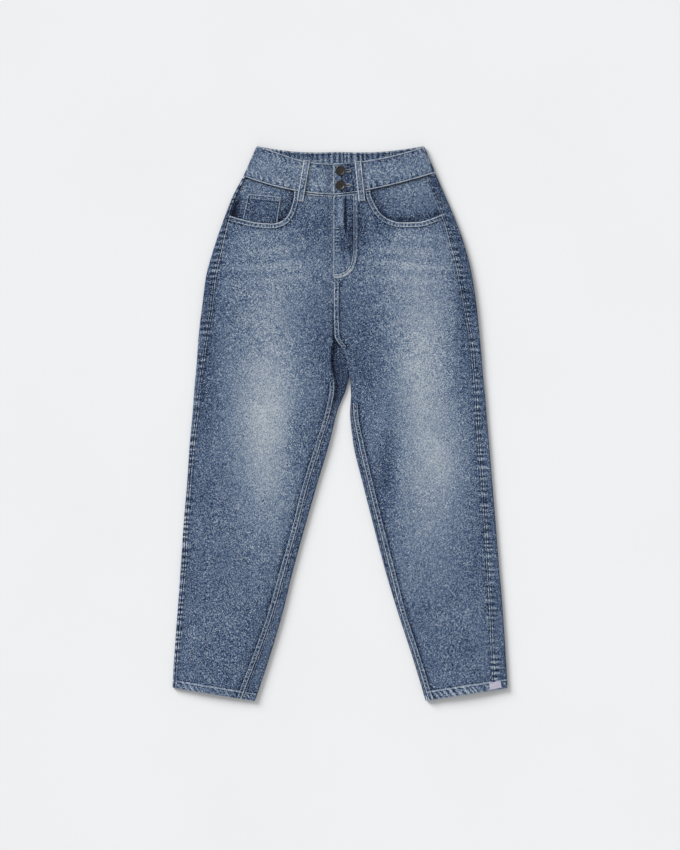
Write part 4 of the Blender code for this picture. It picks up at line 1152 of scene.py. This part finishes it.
def cutter(name, outline):
    bm = bmesh.new()
    face = bm.faces.new([bm.verts.new((x * MM, y * MM, -20.0 * MM)) for x, y in outline])
    grown = bmesh.ops.extrude_face_region(bm, geom=[face])["geom"]
    bmesh.ops.translate(bm, vec=(0, 0, 60.0 * MM), verts=[v for v in grown if isinstance(v, bmesh.types.BMVert)])
    bmesh.ops.recalc_face_normals(bm, faces=bm.faces)
    mesh = bpy.data.meshes.new(name)
    bm.to_mesh(mesh)
    bm.free()
    made = bpy.data.objects.new(name, mesh)
    bpy.context.scene.collection.objects.link(made)
    return made


cutters = [cutter(name + "_hole", keyhole(y)) for name, y in BUTTON_YS.items()]
cloth("denim_band_right", front_band(RIGHT_LEG), BAND_CLOTH, "waistband_right", inside=DENIM)
cloth("denim_band_left", front_band(LEFT_LEG), BAND_CLOTH, "waistband_left", inside=DENIM,
      openings=cutters)
cloth("denim_band_back", back_band(), BAND_CLOTH, "waistband_back", inside=DENIM)
for used in cutters:
    bpy.data.objects.remove(used)

# %% [markdown]
# ## What shows in the pocket mouths
#
# Inside each mouth lies a facing of the same denim. The panel over it shades it, and that shade is painted into
# its colour, darkest next to the edge and, on the wearer's right, in a hollow where the facing sags. On the
# wearer's right the small coin pocket sits on it.


# %% Facings and coin pocket
def facing(side, leg):
    mouth = MOUTHS[side]
    place = np.linspace(0.03, 2.45, 46)[:, None]
    row = station(leg, place)
    end = np.abs({"right": RIGHT_MOUTH, "left": LEFT_MOUTH}[side][1][0] - row.outer_x) + 14.0
    away = row.outseam + 0.2 + (end - row.outseam) * np.linspace(0.0, 1.0, 52)[None, :]
    x, y = front_plan(leg, place, away / reach_across(row))
    z = top_height(leg, place, x, y) - (CLOTH + GAP + 0.12)
    hollow = 0.0
    if leg is RIGHT_LEG:
        hollow = smooth(1.0 - np.abs(x + 186.0 - (y - 395.0) * 0.25) / 12.0)
        hollow = hollow * smooth((418.0 - y) / 20.0) * smooth((y - 352.0) / 15.0)
    points = np.stack([x, y, z - 1.2 * hollow], -1)
    _, _, distance, _ = nearest_on(mouth, x, y)
    # Painted shade darkens the hollow where the facing sags.
    finish = Finish(points, (0.50 if leg is LEFT_LEG else 0.47) + 0.06 * noise2(x, y, 28.0, 203) - 0.5 * hollow)
    finish.add(relief=-0.35 + 0.16 * (noise2(x, y, 30.0, 201) - 1.0) + 0.05 * noise2(x, y, 10.0, 202))
    # Painted shade darkens the facing next to the mouth's edge, under the panel.
    finish.add(wash=-0.34 * bell(distance, 9.0) - 0.12 * bell(distance, 26.0) + 0.10 * smooth((y - 400.0) / 20.0))
    return [Sheet(points, finish, leg is RIGHT_LEG, None)]


COIN = ((-165.5, 413.5), (-105.5, 407.5), (-112.0, 364.0), (-174.5, 371.0))


def place_at(leg, x, y):
    low, high = np.zeros(np.shape(x)), np.full(np.shape(x), HEM)
    for _ in range(26):
        middle = (low + high) / 2.0
        row = station(leg, middle)
        share = np.clip((x - row.outer_x) / (row.front_x - row.outer_x), 0.0, 1.0)
        above = front_plan(leg, middle, share)[1] > y
        low, high = np.where(above, middle, low), np.where(above, high, middle)
    return (low + high) / 2.0


def patch(corners, columns, rows):
    """A four-cornered patch seen from above: its x and y, and its distances from the four sides."""
    a, b, c, d = (np.array(p, float) for p in corners)
    u, v = np.linspace(0.0, 1.0, columns)[None, :, None], np.linspace(0.0, 1.0, rows)[:, None, None]
    plan = (a + (b - a) * u) * (1.0 - v) + (d + (c - d) * u) * v
    return plan[..., 0], plan[..., 1]


def coin_pocket():
    x, y = patch(COIN, 44, 34)
    mouth = MOUTHS["right"]
    line = mouth[np.argsort(mouth[40:, 0]) + 40]
    floor_y = np.interp(x, line[:, 0], line[:, 1]) + 1.2
    y = np.maximum(y, floor_y)
    y[-1] = floor_y[-1]
    place = place_at(RIGHT_LEG, x, y)
    z = top_height(RIGHT_LEG, place, x, y) - (CLOTH + GAP + 0.12) + GAP + 1.08
    points = np.stack([x, y, z], -1)
    left, top = spans(points, 1), spans(points, 0)
    side = np.minimum(left, left[:, -1:] - left)
    finish = Finish(points, 0.33 + 0.06 * noise2(x, y, 14.0, 212) - 0.06 * smooth((top - 28.0) / 16.0))
    finish.add(relief=0.25 * window(top, 0.5, 9.0, 1.5), wash=0.12 * window(top, 0.0, 9.0, 1.5))
    finish.puckers(x, 6.5, 211, window(top, 2.0, 8.5, 2.0), 0.15, 0.75)
    # Painted shade darkens the stitch line under the coin pocket's hem; its sides are paler with wear.
    finish.add(wash=0.10 * bell(side - 0.8, 1.2) - 0.16 * bell(top - 10.0, 1.3))
    finish.edge(np.minimum(side, top))
    return [Sheet(points, finish, True, None)]


cloth("denim_facing_right", facing("right", RIGHT_LEG), 0.9, "pocket_facing_right")
cloth("denim_facing_left", facing("left", LEFT_LEG), 0.9, "pocket_facing_left")
cloth("denim_coin_pocket", coin_pocket(), 1.0, "coin_pocket")

# %% [markdown]
# ## Belt loops and back pockets
#
# A loop is a folded strip with two rows of stitches, tacked down at both ends and arched a little between.
# The loops and patch pockets of the back are under the jeans as they lie, so they are pressed flat.


# %% Loops
LOOP_WIDTH, LOOP_CLOTH = 12.5, 1.3


def loop_finish(points, side, share, seed):
    finish = Finish(points, 0.62 + 0.06 * np.sin(share * 9.0) + 0.0 * side)
    from_side = (1.0 - np.abs(side)) * LOOP_WIDTH / 2.0
    finish.edge(from_side + 0.0 * share)
    finish.puckers(share * 74.0 + 0.0 * side, 6.0, seed, window(from_side, 2.0, 9.0, 1.5), 0.12, 0.12)
    finish.add(relief=-0.3 * smooth(1.0 - from_side / 0.9) ** 2)
    return finish


def front_loop(top, bottom, seed):
    top, bottom = np.array(top), np.array(bottom)
    along = (bottom - top) / np.hypot(*(bottom - top))
    side, share = np.linspace(-1.0, 1.0, 17)[None, :], np.linspace(0.0, 1.0, 60)[:, None]
    x = top[0] + (bottom[0] - top[0]) * share - along[1] * side * LOOP_WIDTH / 2.0
    y = top[1] + (bottom[1] - top[1]) * share + along[0] * side * LOOP_WIDTH / 2.0
    lift, edge, swell = profile(y)
    z = lift + edge + swell + BAND_PROUD * smooth((y - 410.0) / 5.0) + GAP + 0.3 + LOOP_CLOTH
    points = np.stack([x, y, z + 0.9 * np.sin(math.pi * share) ** 2], -1)
    return [Sheet(points, loop_finish(points, side, share, seed), True, None)]


def back_loop(x, top_y):
    side, share = np.linspace(-1.0, 1.0, 13)[None, :], np.linspace(0.0, 1.0, 40)[:, None]
    points = np.stack(np.broadcast_arrays(x + side * LOOP_WIDTH / 2.0, top_y - 74.0 * share, 0.0), -1)
    finish = loop_finish(points, side, share, 231)
    finish.relief = np.minimum(finish.relief, 0.0)
    return [Sheet(points, finish, False, None)]


LOOPS = {
    "loop_front_right": front_loop((-59.5, 473.0), (-72.0, 399.0), 221),
    "loop_front_left": front_loop((32.0, 471.5), (39.5, 399.5), 225),
    "loop_back_centre": back_loop(CENTRE_BACK_X, 487.0),
    "loop_back_right": back_loop(-104.0, 490.0),
    "loop_back_left": back_loop(98.0, 491.0),
}
for name, sheets in LOOPS.items():
    cloth("denim_" + name, sheets, LOOP_CLOTH, name)

# %% Back pockets
POCKET_HALF_TOP, POCKET_HALF_LOW, POCKET_TOP, POCKET_SIDE, POCKET_POINT = 72.0, 66.0, 74.0, -46.0, -74.0


def back_pocket(centre_x, turn):
    u, v = np.linspace(-1.0, 1.0, 50)[None, :], np.linspace(0.0, 1.0, 50)[:, None]
    low = POCKET_POINT + (POCKET_SIDE - POCKET_POINT) * np.abs(u)
    y = POCKET_TOP + (low - POCKET_TOP) * v
    x = u * np.interp(y, (POCKET_SIDE, POCKET_TOP), (POCKET_HALF_LOW, POCKET_HALF_TOP))
    c, s = math.cos(turn), math.sin(turn)
    points = np.stack([centre_x + x * c - y * s, 282.0 + x * s + y * c, 0.0 * x], -1)
    side = (1.0 - np.abs(u)) * 68.0
    edge = np.minimum(side, y - low)
    hem = POCKET_TOP - y
    finish = Finish(points, 0.62 + 0.05 * noise2(x, y, 30.0, 242))
    finish.two_rows = np.minimum(finish.two_rows, edge)
    finish.edge(np.abs(hem - 12.0) + 0.8)
    finish.puckers(x, 9.0, 241, window(hem, 1.0, 11.0, 2.0), 0.0, 0.3)
    finish.add(relief=-0.15 * bell(edge - 1.8, 0.8) - 0.15 * bell(edge - 8.0, 0.8) - 0.2 * bell(hem - 12.0, 1.0))
    return [Sheet(points, finish, False, None)]


cloth("denim_back_pocket_right", back_pocket(-108.0, math.radians(-4.0)), 1.2, "back_pocket_right")
cloth("denim_back_pocket_left", back_pocket(102.0, math.radians(4.0)), 1.2, "back_pocket_left")
print("cloth pieces", len(pieces))

# %% [markdown]
# ## The tab at the hem
#
# A small bare tab is sewn across the side seam at the left hem. It is woven, pale and a little puckered by
# the stitches at its ends.


# %% Hem tab
TAB = ((267.5, -466.5), (288.5, -462.5), (290.5, -474.5), (269.5, -479.0))


def tab():
    x, y = patch(TAB, 34, 18)
    z = top_height(LEFT_LEG, place_at(LEFT_LEG, x, y), x, y) + GAP + 0.75
    points = np.stack([x, y, z], -1)
    left = spans(points, 1)
    side = np.minimum(left, left[:, -1:] - left)
    finish = Finish(points, 0.5)
    finish.add(relief=0.16 * noise2(x, y, 5.0, 251) - 0.3 * bell(side - 2.0, 0.9) - 0.12 * bell(side, 1.0))
    return [Sheet(points, finish, True, None)]


cloth("woven_tab", tab(), 0.6, "hem_tab", inside=TAB_WEAVE, outside=TAB_WEAVE)

# %% [markdown]
# ## Rows of stitches
#
# A stitch is a short thread, so one small mesh is repeated along each sewing line. Geometry Nodes does the
# repeating: the line is divided evenly, a stitch is laid on every division and turned along the line. The
# lines themselves are drawn from above and dropped onto the cloth with rays, so that they follow its relief.

# %% A tree that sews
def sewing_tree():
    tree = bpy.data.node_groups.new("sewing", "GeometryNodeTree")
    tree.interface.new_socket("Geometry", in_out="OUTPUT", socket_type="NodeSocketGeometry")
    tree.interface.new_socket("Line", in_out="INPUT", socket_type="NodeSocketGeometry")
    for word in ("Pitch", "Length", "Width", "Height"):
        tree.interface.new_socket(word, in_out="INPUT", socket_type="NodeSocketFloat")
    tree.interface.new_socket("Across", in_out="INPUT", socket_type="NodeSocketFloat")
    tree.interface.new_socket("Thread", in_out="INPUT", socket_type="NodeSocketMaterial")
    new, link = tree.nodes.new, tree.links.new
    given, out = new("NodeGroupInput"), new("NodeGroupOutput")
    curve, evenly = new("GeometryNodeMeshToCurve"), new("GeometryNodeResampleCurve")
    evenly.mode = "LENGTH"
    link(given.outputs["Line"], curve.inputs[0])
    link(curve.outputs[0], evenly.inputs["Curve"])
    link(given.outputs["Pitch"], evenly.inputs["Length"])
    stitch = new("GeometryNodeMeshUVSphere")
    stitch.inputs["Segments"].default_value = 6
    stitch.inputs["Rings"].default_value = 4
    stitch.inputs["Radius"].default_value = 0.5
    size = new("ShaderNodeCombineXYZ")
    for axis, word in enumerate(("Length", "Width", "Height")):
        link(given.outputs[word], size.inputs[axis])
    along, turn, quarter = new("GeometryNodeInputTangent"), new("FunctionNodeAlignRotationToVector"), new("FunctionNodeRotateRotation")
    turn.axis = "X"
    quarter.rotation_space = "LOCAL"
    link(along.outputs[0], turn.inputs["Vector"])
    angle = new("ShaderNodeCombineXYZ")
    link(given.outputs["Across"], angle.inputs[2])
    link(turn.outputs[0], quarter.inputs[0])
    link(angle.outputs[0], quarter.inputs[1])
    lay, real, dye = new("GeometryNodeInstanceOnPoints"), new("GeometryNodeRealizeInstances"), new("GeometryNodeSetMaterial")
    link(evenly.outputs[0], lay.inputs["Points"])
    link(stitch.outputs[0], lay.inputs["Instance"])
    link(quarter.outputs[0], lay.inputs["Rotation"])
    link(size.outputs[0], lay.inputs["Scale"])
    link(lay.outputs[0], real.inputs[0])
    link(real.outputs[0], dye.inputs["Geometry"])
    link(given.outputs["Thread"], dye.inputs["Material"])
    link(dye.outputs[0], out.inputs[0])
    return tree


SEWING = sewing_tree()


def surface_of(names):
    """A search tree of several pieces' surfaces."""
    places, faces = [], []
    for name in names:
        mesh = pieces[name].data
        start = len(places)
        places += [v.co.copy() for v in mesh.vertices]
        faces += [tuple(start + k for k in face.vertices) for face in mesh.polygons]
    return BVHTree.FromPolygons(places, faces)


def dropped(surface, line, above=True, step=2.5):
    """The line, seen from above, laid on the surface from above or from below."""
    line = np.asarray(line, float)
    along = np.concatenate([[0.0], np.cumsum(np.hypot(*np.diff(line, axis=0).T))])
    even = np.linspace(0.0, along[-1], max(2, int(along[-1] / step) + 1))
    found = []
    for x, y in zip(*(np.interp(even, along, line[:, k]) for k in (0, 1))):
        hit = surface.ray_cast(Vector((x * MM, y * MM, 0.05 if above else -0.05)), Vector((0, 0, -1 if above else 1)))
        if hit[0] is not None:
            found.append(hit[0] + Vector((0, 0, 0.06 * MM if above else 0.1 * MM)))
    return found


def sewn(name, lines, pitch=3.2, length=2.7, width=0.75, height=0.42, across=False, thread=THREAD):
    """A row of stitches along each line, as one plain mesh."""
    mesh = bpy.data.meshes.new(name)
    places = [place for line in lines for place in line]
    edges, start = [], 0
    for line in lines:
        edges += [(start + k, start + k + 1) for k in range(len(line) - 1)]
        start += len(line)
    mesh.from_pydata(places, edges, [])
    made = bpy.data.objects.new(name, mesh)
    bpy.context.scene.collection.objects.link(made)
    sew = made.modifiers.new("sewing", "NODES")
    sew.node_group = SEWING
    values = {"Pitch": pitch * MM, "Length": length * MM, "Width": width * MM, "Height": height * MM}
    values.update({"Across": math.pi / 2.0 if across else 0.0, "Thread": thread})
    for socket in SEWING.interface.items_tree:
        if socket.in_out == "INPUT" and socket.name in values:
            sew[socket.identifier] = values[socket.name]
    plain_mesh(made, 180)
    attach(made, "root")
    print(name, len(made.data.vertices) // 20, "stitches")
    return made


# %% [markdown]
# The lines are where a jeans maker sews: two rows on each felled seam, pocket mouth and fly, one row round
# the hems and the waistband, and two on each belt loop. A bar of close, crosswise stitches tacks down the
# ends that carry load.

# %% Where the stitches run
def beside_inseam(leg, distance, start, end):
    place = np.linspace(start, end, 160)
    row = station(leg, place)
    return np.stack(front_plan(leg, place, 1.0 - distance / reach_across(row)), -1)


def beside_outseam(leg, distance, start, end):
    place = np.linspace(start, end, 60)
    row = station(leg, place)
    return np.stack(front_plan(leg, place, (row.outseam + distance) / reach_across(row)), -1)


def beside_line(line, distance):
    """A line parallel to another, to the left of it going along."""
    line = np.asarray(line, float)
    along = np.gradient(line, axis=0)
    along /= np.hypot(along[:, :1], along[:, 1:])
    return line + distance * np.stack([-along[:, 1], along[:, 0]], -1)


def across_hem(leg, above):
    """A line along the hem, a distance above its edge, from the outseam to the inseam."""
    row = station(leg, np.full(1, HEM))
    share = np.linspace(0.02 + row.outseam[0] / reach_across(row)[0], 0.99, 60)
    x, y = front_plan(leg, np.full(60, HEM), share)
    down = unit(row.front_x - station(leg, np.full(1, 17.0)).front_x, row.front_y - station(leg, np.full(1, 17.0)).front_y)
    return np.stack([x - down[0] * above, y - down[1] * above], -1)


def band_line(leg, up, start=0.03, end=0.99):
    return np.stack(band_front_plan(leg, np.linspace(start, end, 60), up), -1)


fronts = surface_of(["denim_front_right", "denim_front_left", "denim_facing_right", "denim_facing_left",
                     "denim_coin_pocket"])
bands = surface_of(["denim_band_right", "denim_band_left"])
loops = surface_of(["denim_loop_front_right", "denim_loop_front_left"])
below = surface_of(["denim_back_right", "denim_back_left", "denim_yoke_right", "denim_yoke_left",
                    "denim_band_back"])
pockets = surface_of(["denim_back_pocket_right", "denim_back_pocket_left", "denim_loop_back_right",
                      "denim_loop_back_left", "denim_loop_back_centre"])

sewn("thread_right_leg", [
    dropped(fronts, beside_inseam(RIGHT_LEG, 2.2, 8.9, 17.98)),
    dropped(fronts, beside_inseam(RIGHT_LEG, 8.5, 8.9, 17.98)),
    dropped(fronts, across_hem(RIGHT_LEG, 12.5)),
    dropped(fronts, beside_outseam(RIGHT_LEG, 1.8, 1.0, 4.0)),
])
sewn("thread_left_leg", [
    dropped(fronts, beside_inseam(LEFT_LEG, 2.2, 3.95, 6.75)),
    dropped(fronts, beside_inseam(LEFT_LEG, 8.5, 3.95, 6.75)),
    dropped(fronts, beside_inseam(LEFT_LEG, 2.2, 9.6, 17.98)),
    dropped(fronts, beside_inseam(LEFT_LEG, 8.5, 9.6, 17.98)),
    dropped(fronts, across_hem(LEFT_LEG, 15.0)),
    dropped(fronts, beside_outseam(LEFT_LEG, 1.8, 1.2, 4.0)),
])
inner_fly = beside_line(FLY_CURVE, -5.0)
sewn("thread_fly", [
    dropped(fronts, FLY_CURVE[3:]),
    dropped(fronts, inner_fly[6:-2]),
    dropped(fronts, [(CENTRE_FRONT_X + 1.6, 408.0), (CENTRE_FRONT_X + 1.6, 264.0)]),
])
mouth_lines = [dropped(fronts, beside_line(MOUTHS[side][6:-4], sign * d))
               for side, sign in (("right", 1.0), ("left", -1.0)) for d in (1.6, 7.9)]
coin = [np.array(p) for p in COIN]
sewn("thread_pockets", mouth_lines + [
    dropped(fronts, [coin[0] + (1.2, -8.0), coin[1] + (-1.2, -8.0)]),
    dropped(fronts, [coin[0] + (1.5, -1.5), coin[1] + (-1.5, -1.5)]),
    dropped(fronts, [coin[1] + (-1.5, -1.0), coin[2] + (-1.5, 2.0)]),
    dropped(fronts, [coin[0] + (1.5, -1.0), coin[3] + (1.5, 2.0)]),
])
sewn("thread_band", [
    *(dropped(bands, band_line(leg, up)) for leg in (RIGHT_LEG, LEFT_LEG) for up in (0.03, 0.97)),
    dropped(bands, [(CENTRE_FRONT_X + 1.6, 412.0), (CENTRE_FRONT_X + 1.6, 466.0)]),
])
sewn("thread_loops", [
    dropped(loops, [(top[0] + d, top[1] - 2.0), (low[0] + d, low[1] + 2.0)])
    for top, low in (((-59.5, 473.0), (-72.0, 399.0)), ((32.0, 471.5), (39.5, 399.5))) for d in (-4.1, 4.1)
])
sewn("thread_seat", [
    dropped(below, [(CENTRE_BACK_X + d, 360.0), (CENTRE_BACK_X + d, 205.0)], above=False) for d in (1.9, 8.2)
])

# %% [markdown]
# Satin stitches edge the buttonholes, and bar tacks hold the loops and the fly's foot.

# %% Buttonholes and bar tacks
satin = [dropped(bands, [*keyhole(y, 1.0), keyhole(y, 1.0)[0]], step=1.0) for y in BUTTON_YS.values()]
sewn("thread_buttonholes", satin, 0.62, 2.3, 0.5, 0.5, across=True)
BARS = [
    ((-65.0, 471.5), (-55.0, 472.8)), ((-77.0, 401.5), (-67.0, 400.0)),
    ((27.0, 470.0), (37.0, 470.6)), ((34.5, 401.6), (44.5, 402.0)),
]
both = surface_of(["denim_loop_front_right", "denim_loop_front_left"])
sewn("thread_loop_tacks", [dropped(both, bar, step=1.0) for bar in BARS],
                                    0.55, 2.4, 0.5, 0.5, across=True)
TACKS = [((-10.5, 264.0), (-1.0, 264.0)), ((1.0, 262.0), (7.0, 264.5)), ((-12.0, 352.0), (-2.0, 350.0))]
sewn("thread_fly_tacks", [dropped(fronts, bar, step=1.0) for bar in TACKS],
                                   0.55, 2.4, 0.5, 0.5, across=True)

# %% [markdown]
# ## Buttons and zip
#
# The buttons are turned metal: a dished cap with a rim, on a shank. A profile spun round its axis with Screw
# makes them, with many more steps than the solid has. The closed zip is hidden under the fly. Its teeth are
# small blocks that alternate down the tape.

# %% Buttons
def button(name, y):
    lift, edge, swell = (float(v) for v in profile(y))
    band_top = lift + edge + swell + BAND_PROUD
    foot, head = band_top - BAND_CLOTH, band_top + 0.5
    outline = [
        (0.0, head + 1.45), (3.2, head + 1.4), (5.2, head + 1.35), (6.2, head + 1.4), (6.7, head + 1.75),
        (7.2, head + 2.1), (7.8, head + 2.2), (8.4, head + 2.05), (8.8, head + 1.6), (9.0, head + 1.1),
        (8.8, head + 0.5), (8.2, head + 0.2), (5.0, head), (2.0, head), (2.0, foot), (0.0, foot),
    ]
    mesh = bpy.data.meshes.new(name)
    mesh.from_pydata([(BUTTON_X * MM + r * MM, y * MM, z * MM) for r, z in outline],
                     [(k, k + 1) for k in range(len(outline) - 1)], [])
    made = bpy.data.objects.new(name, mesh)
    bpy.context.scene.collection.objects.link(made)
    axis = bpy.data.objects.new("axis", None)
    axis.location = (BUTTON_X * MM, y * MM, 0.0)
    bpy.context.scene.collection.objects.link(axis)
    turn = made.modifiers.new("turn", "SCREW")
    turn.object = axis
    turn.steps = turn.render_steps = 56
    turn.use_merge_vertices, turn.merge_threshold = True, 0.00005
    mesh.materials.append(BUTTON_METAL)
    plain_mesh(made, 35)
    bpy.data.objects.remove(axis)
    made.data.materials.append(BUTTON_DARK)
    for face in made.data.polygons:
        from_axis = math.hypot(face.center.x - BUTTON_X * MM, face.center.y - y * MM)
        face.material_index = 1 if from_axis < 6.3 * MM and face.normal.z > 0.5 else 0
    return made


for name, y in BUTTON_YS.items():
    stands_for(button("turned_" + name, y), name)


# %% Zip
def zip_tape():
    side, share = np.linspace(-1.0, 1.0, 25)[None, :], np.linspace(0.0, 1.0, 90)[:, None]
    x, y = 1.0 + 24.0 * (side + 1.0) / 2.0 + 0.0 * share, 402.0 - 126.0 * share + 0.0 * side
    lift, edge, swell = profile(y)
    points = np.stack([x, y, lift + edge + swell - 0.4 - CLOTH - GAP - 0.35], -1)
    finish = Finish(points, 0.2)
    finish.add(relief=0.35 * window(np.abs(side), -1.0, 0.16, 0.04) * (0.5 + 0.5 * np.sign(np.sin(y * 2.6))))
    return [Sheet(points, finish, True, None)]


cloth("zip_tape", zip_tape(), 0.6, "fly_zip", inside=TAPE, outside=TAPE)
zipped = surface_of(["zip_tape"])
teeth = [dropped(zipped, [(13.0 + d, 400.0 - d), (13.0 + d, 278.0 - d)]) for d in (-0.9, 0.9)]
sewn("zip_teeth", teeth, 2.0, 2.6, 1.1, 0.35, across=True, thread=ZIP_METAL)

# %% [markdown]
# ## How large each piece was cut
#
# Every piece is a sheet of cloth. Its width and length say what rectangle it was cut from, and its area is
# what the pattern keeps of it, measured on the smooth form before the wall was added.

# %% The sizes of the cuts
for name, area in areas.items():
    made = pieces[name]
    low, high = np.array(made.bound_box).min(0), np.array(made.bound_box).max(0)
    width, length = (float(v) for v in np.maximum((high - low)[:2], 0.012))
    while area > 0.99 * width * length:
        width *= 1.08
    print(name, round(width, 3), round(length, 3), round(area, 4))
